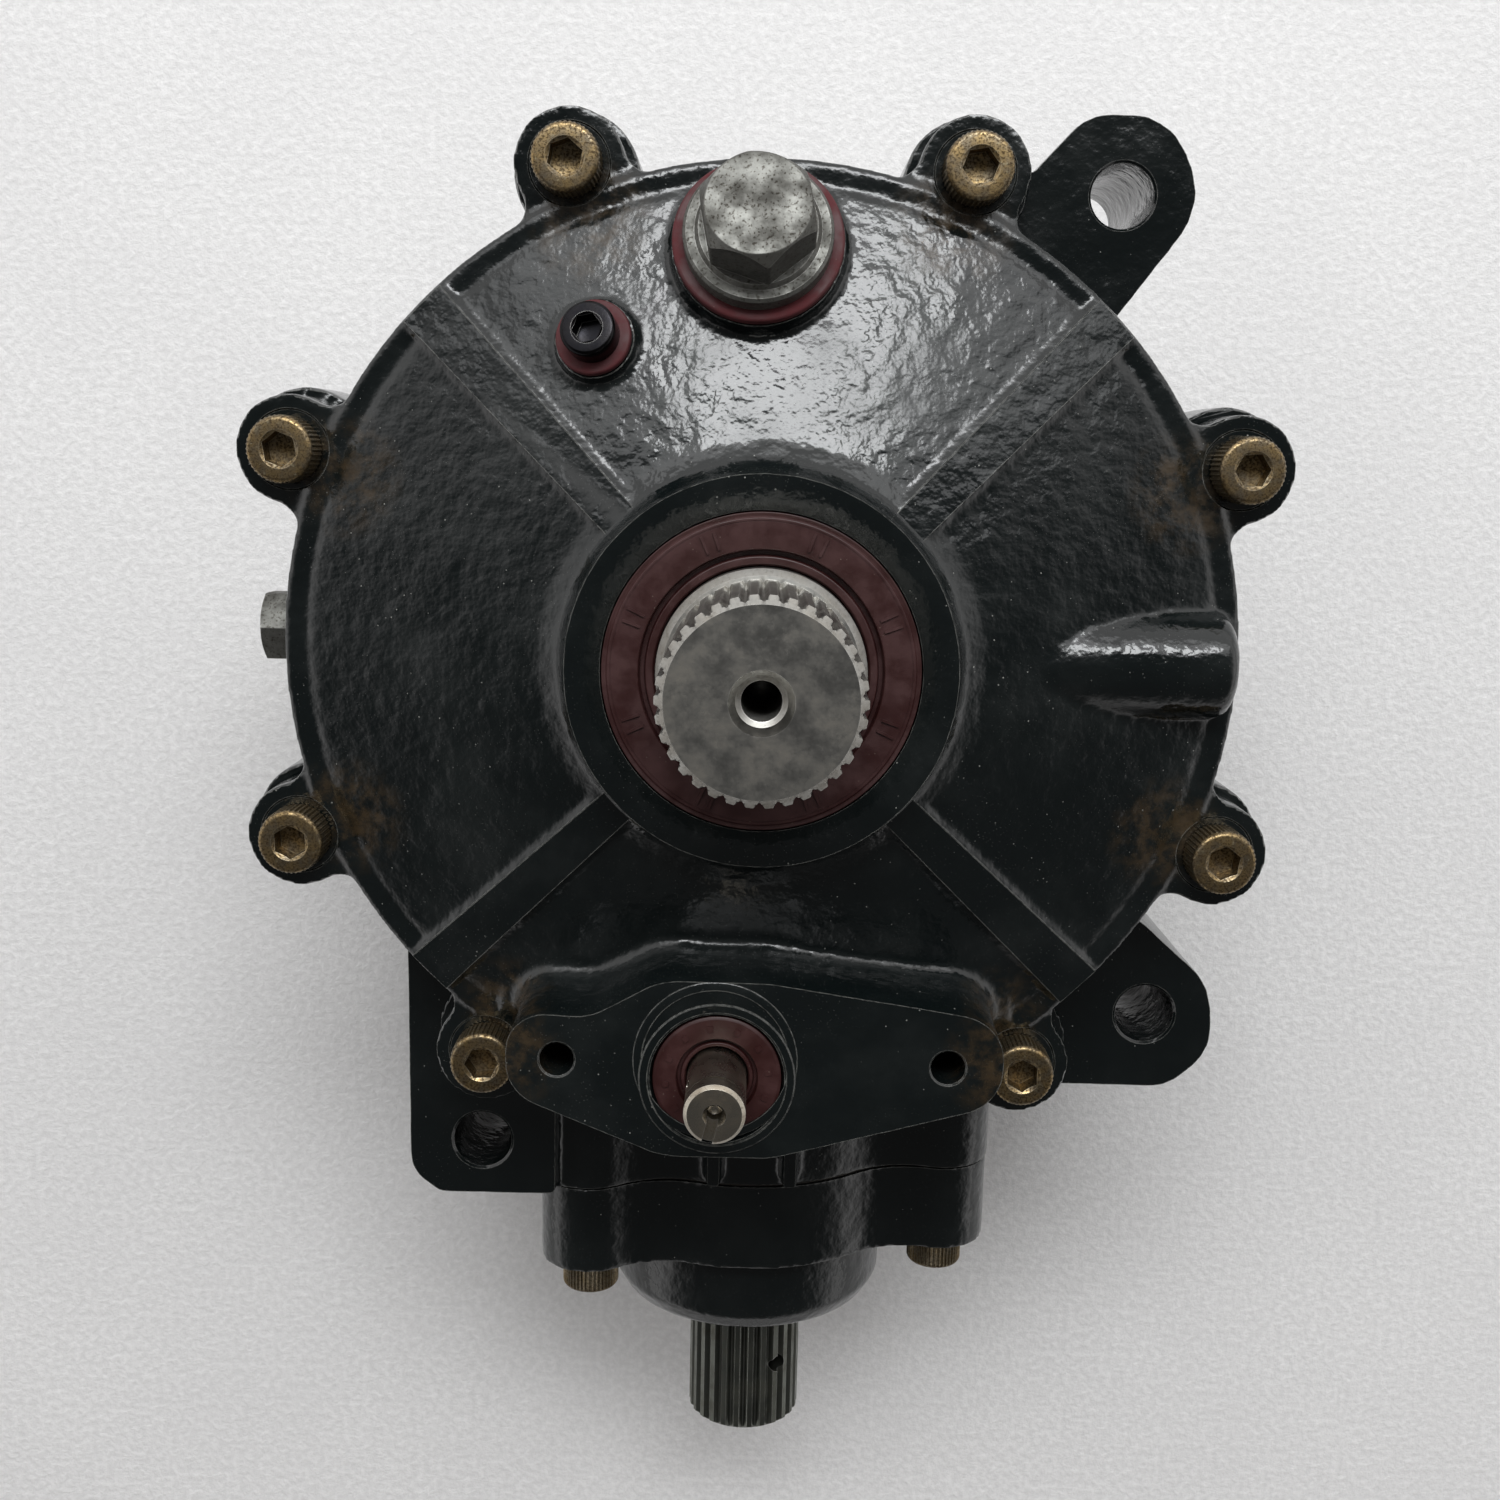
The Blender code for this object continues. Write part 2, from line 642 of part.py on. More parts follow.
def build_retainer_bolts():
    for k, (x, z) in enumerate(RETAINER_BOLTS):
        bolt, socket = socket_screw("retainer_bolt_%d" % (k + 1), 38.0)
        for item in (bolt, socket):
            item.location = (x * MM, -RETAINER_FACE * MM, (INPUT_Z + z) * MM)
            item.rotation_euler = (math.radians(90.0), 0.0, 0.0)


def build_plugs():
    place_filler = tilted_frame(FILLER_SEAT)
    washer = lathe("filler_washer", [(11.4, 2.0), (15.6, 2.0), (15.9, 1.7), (15.9, 0.1),
                   (11.4, 0.1)], 28, GEARBOX, RED_WASHER)
    washer.matrix_world = place_filler
    plug = lathe("filler_plug", [(0.0, 5.6), (13.2, 5.6), (13.8, 5.0), (13.8, 2.1), (10.8, 2.1),
                 (10.8, -9.0), (10.0, -10.0), (0.0, -10.0)],
                 28, GEARBOX, GALVANISED, closed=False)
    plug.matrix_world = place_filler
    head = prism("filler_hex", [circle(0.0, 0.0, 19.4 / math.sqrt(3.0), 6, 0.0)], 5.0, 16.3, CUTTERS)
    head.matrix_world = place_filler
    trim = lathe("filler_hex_trim", [(0.0, 16.3), (9.15, 16.3), (12.2, 14.6), (14.5, 14.6),
                 (14.5, 0.0), (0.0, 0.0)], 24, CUTTERS, closed=False)
    trim.matrix_world = place_filler
    combine(head, trim, "INTERSECT")
    add(plug, head)

    place_vent = tilted_frame(VENT_SEAT)
    ring = lathe("vent_washer", [(3.6, 1.6), (6.9, 1.6), (7.15, 1.4), (7.15, 0.1), (3.6, 0.1)], 20,
                 GEARBOX, RED_WASHER)
    ring.matrix_world = place_vent
    vent = lathe("vent_plug", [(0.0, 6.3), (5.15, 6.3), (5.15, 1.7), (3.2, 1.7), (3.2, -8.0), (0.0, -8.0)],
                 18, GEARBOX, BLACK_OXIDE, closed=False)
    vent.matrix_world = place_vent
    socket = cylinder("vent_socket", 5.0 / math.sqrt(3.0), 3.2, 8.0, 6, CUTTERS)
    socket.matrix_world = place_vent
    cut(vent, socket)

    side = Matrix.Translation((-97.0 * MM, 0.0, 90.0 * MM)) @ Matrix.Rotation(math.radians(-90.0), 4, "Y")
    seal = lathe("level_washer", [(5.6, 1.7), (8.9, 1.7), (9.1, 1.5), (9.1, 0.1), (5.6, 0.1)], 20,
                 GEARBOX, RED_WASHER)
    seal.matrix_world = side
    level = lathe("level_plug", [(0.0, 3.4), (8.0, 3.4), (8.3, 3.1), (8.3, 1.8), (4.9, 1.8),
                  (4.9, -14.0), (0.0, -14.0)],
                  18, GEARBOX, GALVANISED, closed=False)
    level.matrix_world = side
    grip = prism("level_hex", [circle(0.0, 0.0, 14.2 / math.sqrt(3.0), 6, 0.0)], 3.0, 11.6, CUTTERS)
    grip.matrix_world = side
    add(level, grip)


# ----------------------------------------------------------- output stage
def build_output():
    profile = [
        (0.0, 158.0), (18.2, 158.0), (JOURNAL_RADIUS, 156.9), (JOURNAL_RADIUS, 129.2),
        (23.5, 129.2), (23.5, 122.0),
        (57.5, 122.0), (57.5, 115.2), (0.0, 115.2),
    ]
    shaft = lathe("output_shaft", profile, 28, GEARBOX, MACHINED, closed=False)
    teeth = spline_end("output_spline", spline_outline(OUTPUT_TEETH, OUTPUT_TIP_RADIUS, 16.35),
                       156.0, OUTPUT_END_Z, 15.9, 1.3)
    add(shaft, teeth)
    for k in range(3):
        a = math.radians(PLANET_ANGLES[k] + 60.0)
        post = cylinder("carrier_post_%d" % (k + 1), 6.5, 97.7, 118.0, 12, CUTTERS)
        post.location = (45.0 * math.cos(a) * MM, 45.0 * math.sin(a) * MM, 0.0)
        add(shaft, post)
    centre = lathe("output_centre_bore", [(0.0, 200.0), (5.4, 200.0), (4.75, OUTPUT_END_Z),
                   (3.6, OUTPUT_END_Z - 2.0), (3.6, OUTPUT_END_Z - 26.0),
                   (0.0, OUTPUT_END_Z - 28.0)],
                   24, CUTTERS, closed=False)
    cut(shaft, centre)
    pilot = cylinder("sun_pilot_bore", 10.4, 110.0, 128.0, 24, CUTTERS)
    cut(shaft, pilot)
    for k in range(3):
        a = math.radians(PLANET_ANGLES[k])
        seat = cylinder("pin_seat_%d" % (k + 1), 5.3, 110.0, 121.0, 12, CUTTERS)
        seat.location = (PLANET_CENTRE * math.cos(a) * MM, PLANET_CENTRE * math.sin(a) * MM, 0.0)
        cut(shaft, seat)

    plate = lathe("carrier_plate", [(28.5, 97.5), (57.5, 97.5), (57.5, 93.6), (28.5, 93.6)], 32,
                  GEARBOX, MACHINED)
    for k in range(3):
        a = math.radians(PLANET_ANGLES[k])
        x = PLANET_CENTRE * math.cos(a)
        y = PLANET_CENTRE * math.sin(a)
        seat = cylinder("plate_seat_%d" % (k + 1), 5.3, 90.0, 100.0, 12, CUTTERS)
        seat.location = (x * MM, y * MM, 0.0)
        cut(plate, seat)
        pin = cylinder("planet_pin_%d" % (k + 1), 5.0, 93.8, 120.6, 12, GEARBOX, BEARING_STEEL)
        pin.location = (x * MM, y * MM, 0.0)
        smooth(pin)
        phase = a + math.pi
        edge = gear_outline(PLANET_TEETH, SPUR_MODULE, 0.6, 2.1, 2.9, phase)
        planet = prism("planet_gear_%d" % (k + 1), [edge, circle(0.0, 0.0, 5.3, 12)], 98.4, 114.2,
                       GEARBOX, GEAR_STEEL)
        planet.location = (x * MM, y * MM, 0.0)


def build_ring_and_sun():
    inner = gear_outline(RING_TEETH, SPUR_MODULE, 0.6, 2.0, 2.9, math.pi / RING_TEETH, internal=True)
    prism("ring_gear", [circle(0.0, 0.0, 71.1, 32), inner], 98.3, 114.4, GEARBOX, GEAR_STEEL)

    profile = [
        (0.0, 127.0), (10.0, 127.0), (10.0, 114.3), (19.0, 114.3), (19.0, 98.2), (20.6, 98.2),
        (20.6, 78.0), (17.0, 76.0), (17.0, 30.0), (14.9, 29.5), (14.9, 13.6), (0.0, 13.6),
    ]
    sun = lathe("sun_shaft", profile, 20, GEARBOX, GEAR_STEEL, closed=False)
    teeth = prism("sun_teeth", [gear_outline(SUN_TEETH, SPUR_MODULE, 0.6, 2.1, 2.9)], 98.4, 114.2, CUTTERS)
    add(sun, teeth)

    tilt = math.atan2(CROWN_TEETH, PINION_TEETH)
    root = tilt - 3.3 / CONE_LENGTH
    near = CONE_LENGTH - FACE_LENGTH
    out_r = CONE_LENGTH * math.sin(root)
    out_z = CONE_LENGTH * math.cos(root)
    in_r = near * math.sin(root)
    in_z = near * math.cos(root)
    profile = [
        (20.8, 31.8), (52.2, 31.8), (53.6, 30.4), (53.6, out_z + 0.6), (out_r, out_z), (in_r, in_z),
        (in_r - 3.0, in_z + 2.0), (26.0, 20.0), (20.8, 20.0),
    ]
    crown = lathe("crown_wheel", profile, 30, GEARBOX, GEAR_STEEL)
    crown.location = (0.0, 0.0, INPUT_Z * MM)
    teeth = bevel_teeth("crown_teeth", CROWN_TEETH, tilt, math.radians(-90.0), CUTTERS)
    teeth.location = (0.0, 0.0, INPUT_Z * MM)
    add(crown, teeth)


def build_input():
    tilt = math.atan2(PINION_TEETH, CROWN_TEETH)
    root = tilt - 3.3 / CONE_LENGTH
    near = CONE_LENGTH - FACE_LENGTH
    profile = [
        (0.0, 112.0), (8.0, 112.0), (8.0, 96.0), (11.0, 96.0), (11.0, 68.7), (15.0, 68.7),
        (15.0, 56.2), (17.4, 56.2), (CONE_LENGTH * math.sin(root), CONE_LENGTH * math.cos(root)),
        (near * math.sin(root), near * math.cos(root)), (9.0, near * math.cos(root) - 1.2),
        (0.0, near * math.cos(root) - 1.2),
    ]
    pinion = along_input(lathe("pinion_shaft", profile, 20, GEARBOX, GEAR_STEEL, closed=False))
    teeth = bevel_teeth("pinion_teeth", PINION_TEETH, tilt,
                        math.radians(90.0) + math.pi / PINION_TEETH, CUTTERS)
    add(pinion, along_input(teeth))
    keys = prism("pinion_keys", [spline_outline(6, 13.0, 10.8, 0.42, 0.46)], 68.2, 96.0, CUTTERS)
    add(pinion, along_input(keys))

    collar = along_input(lathe("dog_collar", [
        (13.4, 93.0), (24.0, 93.0), (24.0, 84.25), (19.5, 84.25), (19.5, 77.35),
        (24.0, 77.35), (24.0, 74.7), (13.4, 74.7)],
        20, GEARBOX, GEAR_STEEL))
    keyway = prism("collar_keys", [circle(0.0, 0.0, 15.0, 24),
                   spline_outline(6, 13.35, 11.35, 0.50, 0.54)], 74.8, 92.9, CUTTERS)
    add(collar, along_input(keyway))
    for k in range(4):
        dog = prism("collar_dog_%d" % (k + 1),
                    [arc(0, 0, 23.2, -20, 20, 2) + arc(0, 0, 15.8, 20, -20, 2)], 92.0, 97.0,
                    CUTTERS)
        along_input(dog)
        dog.rotation_euler = (math.radians(90.0), math.radians(90.0 * k), 0.0)
        add(collar, dog)

    profile = [
        (0.0, 165.2), (14.4, 165.2), (14.4, 121.0), (15.0, 120.6), (15.0, 104.2),
        (24.0, 104.2), (24.0, 97.9), (0.0, 97.9),
    ]
    shaft = along_input(lathe("input_shaft", profile, 24, GEARBOX, MACHINED, closed=False))
    teeth = spline_end("input_spline", spline_outline(INPUT_TEETH, INPUT_TIP_RADIUS, 12.8), 164.8,
                       INPUT_END, 12.5, 1.0)
    add(shaft, along_input(teeth))
    for k in range(4):
        dog = prism("input_dog_%d" % (k + 1),
                    [arc(0, 0, 23.2, 25.5, 64.5, 2) + arc(0, 0, 15.8, 64.5, 25.5, 2)], 93.6, 99.0,
                    CUTTERS)
        along_input(dog)
        dog.rotation_euler = (math.radians(90.0), math.radians(90.0 * k), 0.0)
        add(shaft, dog)
    bore = along_input(cylinder("input_pilot_bore", 8.4, 90.0, 113.0, 24, CUTTERS))
    cut(shaft, bore)
    cross = cylinder("input_cross_hole", 2.1, -20.0, 20.0, 12, CUTTERS)
    cross.location = (0.0, -186.0 * MM, INPUT_Z * MM)
    cross.rotation_euler = (0.0, math.radians(52.0), 0.0)
    cut(shaft, cross)


def build_retainer():
    profile = [
        (17.6, 152.5), (23.6, 152.5), (23.6, RETAINER_END - 1.4), (25.6, RETAINER_END),
        (30.6, RETAINER_END), (33.2, 161.2),
        (33.4, RETAINER_FACE - 2.0), (34.8, RETAINER_FACE - 4.0), (34.8, 120.8), (17.6, 120.8),
    ]
    retainer = along_input(lathe("input_retainer", profile, 32, GEARBOX, BLACK_PAINT))
    holes = [circle(x, z, 4.5, 8) for x, z in RETAINER_BOLTS]
    flange = prism("retainer_flange", [flange_outline(40.0, RETAINER_BOLTS, 11.4, 20.0),
                   circle(0.0, 0.0, 28.0, 28)] + holes,
                   RETAINER_START, RETAINER_FACE, CUTTERS)
    add(retainer, along_input(flange))
    holes = [circle(x, z, 4.6, 8) for x, z in RETAINER_BOLTS]
    along_input(prism("retainer_gasket", [flange_outline(39.0, RETAINER_BOLTS, 10.6, 20.0),
                circle(0.0, 0.0, 35.8, 24)] + holes,
                      125.1, RETAINER_START - 0.1, GEARBOX, GASKET_PAPER))


def seal_ring(name, inner, outer, z0, z1):
    """Rubber lip seal with a recessed groove round the lip."""
    groove = inner + (outer - inner) * 0.16
    wall = inner + (outer - inner) * 0.30
    return lathe(name, [
        (inner, z1 - 0.6), (groove, z1 - 0.6), (groove + 0.2, z1 - 1.5), (wall, z1 - 1.5),
        (wall + 0.3, z1), (outer, z1), (outer, z0), (inner, z0)],
        24, GEARBOX, SEAL_RUBBER)


def bearing(name, bore, outside, z0, z1):
    """Shielded ball bearing as its outer ring with shields and its inner ring."""
    track = bore + (outside - bore) * 0.34
    shield = bore + (outside - bore) * 0.38
    race = bore + (outside - bore) * 0.72
    outer = lathe(name + "_outer", [
        (shield, z1 - 0.6), (race, z1 - 0.6), (race, z1), (outside, z1), (outside, z0), (race, z0),
        (race, z0 + 0.6), (shield, z0 + 0.6)], 20, GEARBOX, BEARING_STEEL)
    inner = lathe(name + "_inner", [(bore, z1), (track, z1), (track, z0), (bore, z0)], 20, GEARBOX,
                  BEARING_STEEL)
    return outer, inner


def build_selector():
    profile = [
        (0.0, SELECTOR_END_Z), (5.1, SELECTOR_END_Z),
        (SELECTOR_RADIUS, SELECTOR_END_Z - 0.6), (SELECTOR_RADIUS, 90.6),
        (9.5, 90.6), (9.5, 85.2), (0.0, 85.2),
    ]
    shaft = lathe("selector_shaft", profile, 20, GEARBOX, MACHINED, closed=False)
    shaft.location = (SELECTOR_X * MM, SELECTOR_Y * MM, 0.0)
    pin = cylinder("selector_pin", 2.7, 80.2, 87.0, 12, CUTTERS)
    pin.location = ((SELECTOR_X + SELECTOR_THROW * math.cos(SELECTOR_REST)) * MM,
                    (SELECTOR_Y + SELECTOR_THROW * math.sin(SELECTOR_REST)) * MM, 0.0)
    add(shaft, pin)
    slot = block("selector_slot", (1.5, 7.0, 2.6), (0.0, -3.5, SELECTOR_END_Z - 0.4), CUTTERS)
    slot.location = (SELECTOR_X * MM, SELECTOR_Y * MM, 0.0)
    cut(shaft, slot)
    drill = cylinder("selector_centre", 2.0, SELECTOR_END_Z - 4.0, SELECTOR_END_Z + 1.0, 10, CUTTERS)
    drill.location = (SELECTOR_X * MM, SELECTOR_Y * MM, 0.0)
    cut(shaft, drill)
    cross = cylinder("selector_cross_hole", 1.1, -8.0, 8.0, 8, CUTTERS)
    cross.location = (SELECTOR_X * MM, SELECTOR_Y * MM, (SELECTOR_END_Z - 9.5) * MM)
    cross.rotation_euler = (0.0, math.radians(90.0), math.radians(-20.0))
    cut(shaft, cross)
    seal = seal_ring("selector_seal", SELECTOR_RADIUS + 0.2, 12.3, 148.3, PAD_Z - 0.3)
    seal.location = (SELECTOR_X * MM, SELECTOR_Y * MM, 0.0)


build_housing()
build_cover()
build_gasket()
build_cover_bolts()
build_plugs()
build_output()
build_ring_and_sun()
seal_ring("output_seal", JOURNAL_RADIUS + 0.2, SEAL_RADIUS, 147.6, HUB_Z - 0.9)
bearing("output_bearing", JOURNAL_RADIUS + GAP, 34.0, 129.4, 144.4)
bearing("sun_bearing", 14.9 + GAP, 31.2, 13.2, 29.2)
build_input()
build_retainer()
build_retainer_bolts()
for part in bearing("pinion_bearing", 15.0 + GAP, 27.6, 56.5, 68.3):
    along_input(part)
for part in bearing("input_bearing", 15.0 + GAP, 31.1, 105.3, 120.3):
    along_input(part)
along_input(seal_ring("input_seal", 14.4 + 0.2, 23.4, 153.0, RETAINER_END - 0.8))
build_selector()
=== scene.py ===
"""Looks for a right-angle planetary gearbox with a selector shaft.

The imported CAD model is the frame: every casting, fastener, seal and shaft that
shows is rebuilt here at full smoothness round the CAD node it stands for, and
the gears and bearings inside keep their CAD shape and get a finish.
Lengths are millimetres, scaled to metres once, in the frame's own axes.
"""
import json
import math
import random

import bmesh
import bpy
from mathutils import Matrix, Vector, noise


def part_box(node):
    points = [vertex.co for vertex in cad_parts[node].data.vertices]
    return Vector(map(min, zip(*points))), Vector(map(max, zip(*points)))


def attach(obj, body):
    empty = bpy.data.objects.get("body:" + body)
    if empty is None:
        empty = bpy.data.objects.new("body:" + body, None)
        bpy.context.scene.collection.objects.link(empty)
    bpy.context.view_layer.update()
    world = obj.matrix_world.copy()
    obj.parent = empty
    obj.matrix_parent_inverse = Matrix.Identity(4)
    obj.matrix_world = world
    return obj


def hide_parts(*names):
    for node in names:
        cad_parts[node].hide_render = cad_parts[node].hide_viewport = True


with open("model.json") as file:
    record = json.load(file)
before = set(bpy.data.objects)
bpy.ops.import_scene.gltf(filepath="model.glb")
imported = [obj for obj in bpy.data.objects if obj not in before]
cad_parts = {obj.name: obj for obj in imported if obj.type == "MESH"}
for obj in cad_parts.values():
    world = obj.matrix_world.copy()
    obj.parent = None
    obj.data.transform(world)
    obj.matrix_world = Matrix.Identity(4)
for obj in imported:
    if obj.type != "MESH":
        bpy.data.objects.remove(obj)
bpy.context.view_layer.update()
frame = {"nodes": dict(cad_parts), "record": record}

MM = 0.001
NODES = frame["nodes"]


def node_box(name):
    """Lowest and highest corner of a CAD node, in millimetres."""
    low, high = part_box(name)
    return low / MM, high / MM


def node_centre(name):
    low, high = node_box(name)
    return (low + high) / 2


# ---------------------------------------------------- sizes read off the frame
BASE_Z = node_box("housing")[0].z
COVER_Z = node_box("cover_gasket")[1].z + 0.1
HUB_Z = node_box("cover")[1].z
OUTPUT_END = node_box("output_shaft")[1].z
INPUT_END = -node_box("input_shaft")[0].y
INPUT_Z = node_centre("input_seal").z
SELECTOR = node_centre("selector_seal")
SELECTOR_END = node_box("selector_shaft")[1].z
BOLT_NAMES = ["cover_bolt_%d" % k for k in range(1, 9)]
BOLTS = [node_centre(name).xy for name in BOLT_NAMES]
HEAD_TOP = node_box("cover_bolt_1")[1].z
SPOT_Z = HEAD_TOP - 8.0
SCREW_NAMES = ["retainer_bolt_%d" % k for k in range(1, 4)]
SCREWS = [Vector((node_centre(name).x, node_centre(name).z - INPUT_Z)) for name in SCREW_NAMES]
RETAINER_FACE = -node_box("retainer_bolt_1")[0].y - 8.0
RETAINER_END = -node_box("input_retainer")[0].y
RETAINER_START = -node_box("retainer_gasket")[0].y + 0.1

# ------------------------------------------------------- driving dimensions
LUG_TOP = SPOT_Z + 0.3
RIM_RADIUS = 94.2
RIM_Z = 129.6
CONE_FOOT = (88.3, 130.4)
CONE_HEAD = (42.0, 145.4)
HUB_RADIUS = 36.0
LUG_RADIUS = 10.6
PAD_Z = 155.0
SEAL_BORE = 29.5
JOURNAL = 19.3
STOCK = 1.2
BAND_ANGLES = (45.0, 135.0, 225.0, 315.0)
EAR_HOLES = ((70.6, 92.0), (85.8, -79.5), (-59.4, -112.2))
EAR_TOP = 107.0
EAR_FOOT = 61.0
FILLER_SEAT = Vector((-2.3, 77.6, 137.6))
VENT_SEAT = Vector((-32.2, 59.6, 139.4))
LEVEL_SEAT = Vector((-97.0, 0.0, 90.0))
CONE_LEAN = 17.9


# ------------------------------------------------------------- mesh tools
def finish_mesh(name, bm):
    bmesh.ops.remove_doubles(bm, verts=bm.verts, dist=1e-7)
    bmesh.ops.recalc_face_normals(bm, faces=bm.faces)
    if bm.calc_volume(signed=True) < 0.0:
        bmesh.ops.reverse_faces(bm, faces=bm.faces)
    mesh = bpy.data.meshes.new(name)
    bm.to_mesh(mesh)
    bm.free()
    obj = bpy.data.objects.new(name, mesh)
    bpy.context.scene.collection.objects.link(obj)
    return obj


def rounded(corners, steps=6):
    """Polyline whose corners (x, y, radius) are rounded; two-number corners stay sharp."""
    points = []
    total = len(corners)
    for i, corner in enumerate(corners):
        here = Vector(corner[:2])
        radius = corner[2] if len(corner) > 2 else 0.0
        if radius <= 0.0:
            points.append(tuple(here))
            continue
        before = Vector(corners[i - 1][:2]) - here
        after = Vector(corners[(i + 1) % total][:2]) - here
        half = before.angle(after) / 2
        reach = min(radius / math.tan(half), before.length * 0.49, after.length * 0.49)
        radius = reach * math.tan(half)
        start = here + before.normalized() * reach
        centre = here + (before.normalized() + after.normalized()).normalized() * (radius / math.sin(half))
        first = start - centre
        turn = first.angle_signed(here + after.normalized() * reach - centre)
        for k in range(steps + 1):
            points.append(tuple(centre + Matrix.Rotation(-turn * k / steps, 2) @ first))
    return points


def arc(cx, cy, radius, start, end, count):
    points = []
    for i in range(count + 1):
        a = math.radians(start + (end - start) * i / count)
        points.append((cx + radius * math.cos(a), cy + radius * math.sin(a)))
    return points


def circle(cx, cy, radius, count=64, phase=0.0):
    return arc(cx, cy, radius, phase, phase + 360.0, count)[:-1]


def turned(points, degrees):
    c = math.cos(math.radians(degrees))
    s = math.sin(math.radians(degrees))
    return [(x * c - y * s, x * s + y * c) for x, y in points]


def lathe(name, profile, steps=96, closed=False):
    """Solid of revolution about +Z; an open profile starts and ends on the axis."""
    bm = bmesh.new()
    rings = []
    for r, z in profile:
        if r < 1e-6:
            rings.append([bm.verts.new((0.0, 0.0, z * MM))] * steps)
            continue
        ring = []
        for k in range(steps):
            a = 2 * math.pi * k / steps
            ring.append(bm.verts.new((r * math.cos(a) * MM, r * math.sin(a) * MM, z * MM)))
        rings.append(ring)
    pairs = list(zip(rings, rings[1:]))
    if closed:
        pairs.append((rings[-1], rings[0]))
    for low, high in pairs:
        for k in range(steps):
            j = (k + 1) % steps
            corners = list(dict.fromkeys((low[k], low[j], high[j], high[k])))
            if len(corners) > 2:
                bm.faces.new(corners)
    return finish_mesh(name, bm)


def cylinder(name, radius, z0, z1, steps=64):
    return lathe(name, [(0.0, z0), (radius, z0), (radius, z1), (0.0, z1)], steps)


def loft(name, sections, ends=True):
    """Skin a closed solid through sections with equal point counts."""
    bm = bmesh.new()
    rings = [[bm.verts.new(Vector(p) * MM) for p in section] for section in sections]
    count = len(rings[0])
    for low, high in zip(rings, rings[1:]):
        for i in range(count):
            j = (i + 1) % count
            bm.faces.new((low[i], low[j], high[j], high[i]))
    if ends:
        bm.faces.new(list(reversed(rings[0])))
        bm.faces.new(rings[-1])
    return finish_mesh(name, bm)


def prism(name, outline, z0, z1, holes=()):
    """Flat plate between two heights, with any holes."""
    curve = bpy.data.curves.new(name, "CURVE")
    curve.dimensions = "2D"
    curve.fill_mode = "BOTH"
    curve.extrude = (z1 - z0) / 2 * MM
    for line in [outline] + list(holes):
        spline = curve.splines.new("POLY")
        spline.points.add(len(line) - 1)
        for point, (x, y) in zip(spline.points, line):
            point.co = (x * MM, y * MM, 0.0, 1.0)
        spline.use_cyclic_u = True
    source = bpy.data.objects.new(name, curve)
    bpy.context.scene.collection.objects.link(source)
    bpy.context.view_layer.update()
    mesh = bpy.data.meshes.new_from_object(source)
    bpy.data.objects.remove(source, do_unlink=True)
    bm = bmesh.new()
    bm.from_mesh(mesh)
    bpy.data.meshes.remove(mesh)
    bmesh.ops.translate(bm, verts=bm.verts, vec=(0.0, 0.0, (z0 + z1) / 2 * MM))
    return finish_mesh(name, bm)


def placed(obj, matrix):
    obj.data.transform(matrix)
    return obj


def moved(obj, x=0.0, y=0.0, z=0.0):
    return placed(obj, Matrix.Translation(Vector((x, y, z)) * MM))


def along_input(obj):
    """Local +Z becomes -Y on the input axis."""
    turn = Matrix.Rotation(math.radians(90.0), 4, "X")
    return placed(obj, Matrix.Translation((0.0, 0.0, INPUT_Z * MM)) @ turn)


def tilted(obj, seat):
    """Stand a part on a seat of the sloping cover, leaning away from the axis."""
    bearing = math.atan2(seat.y, seat.x)
    turn = Matrix.Rotation(bearing, 4, "Z") @ Matrix.Rotation(math.radians(CONE_LEAN), 4, "Y")
    return placed(obj, Matrix.Translation(seat * MM) @ turn)


def apply_modifiers(obj):
    graph = bpy.context.evaluated_depsgraph_get()
    mesh = bpy.data.meshes.new_from_object(obj.evaluated_get(graph))
    old = obj.data
    obj.modifiers.clear()
    obj.data = mesh
    bpy.data.meshes.remove(old)
    return obj


def merge(target, others, operation="UNION"):
    """Boolean the others into the target one by one and drop them."""
    for other in others:
        step = target.modifiers.new("Merge", "BOOLEAN")
        step.operation = operation
        step.solver = "MANIFOLD"
        step.object = other
    bpy.context.view_layer.update()
    apply_modifiers(target)
    for other in others:
        bpy.data.objects.remove(other, do_unlink=True)
    return target


def carve(target, cutters):
    """Machine a casting: the cutters are joined first, so the dense mesh is cut once."""
    tool = cutters[0]
    if len(cutters) > 1:
        merge(tool, cutters[1:])
    return merge(target, [tool], "DIFFERENCE")


def cast(name, shapes, voxel, rounds, grain=0.0, grain_size=4.0):
    """Fuse overlapping solids into one skin with soft edges and an uneven, sand-cast face."""
    bm = bmesh.new()
    for shape in shapes:
        bm.from_mesh(shape.data)
        bpy.data.objects.remove(shape, do_unlink=True)
    mesh = bpy.data.meshes.new(name)
    bm.to_mesh(mesh)
    bm.free()
    obj = bpy.data.objects.new(name, mesh)
    bpy.context.scene.collection.objects.link(obj)
    skin = obj.modifiers.new("Skin", "REMESH")
    skin.mode = "VOXEL"
    skin.voxel_size = voxel * MM
    soft = obj.modifiers.new("Soften", "SMOOTH")
    soft.factor = 0.5
    soft.iterations = rounds
    bpy.context.view_layer.update()
    apply_modifiers(obj)
    if grain > 0.0:
        bm = bmesh.new()
        bm.from_mesh(obj.data)
        bm.normal_update()
        scale = 1.0 / (grain_size * MM)
        shifts = []
        for vert in bm.verts:
            height = noise.noise(vert.co * scale) + 0.5 * noise.noise(vert.co * scale * 2.3)
            shifts.append(vert.normal * (height * grain * MM))
        for vert, shift in zip(bm.verts, shifts):
            vert.co += shift
        bm.to_mesh(obj.data)
        bm.free()
    return obj


def shade(obj, angle=38.0):
    for face in obj.data.polygons:
        face.use_smooth = True
    obj.data.set_sharp_from_angle(angle=math.radians(angle))
    return obj


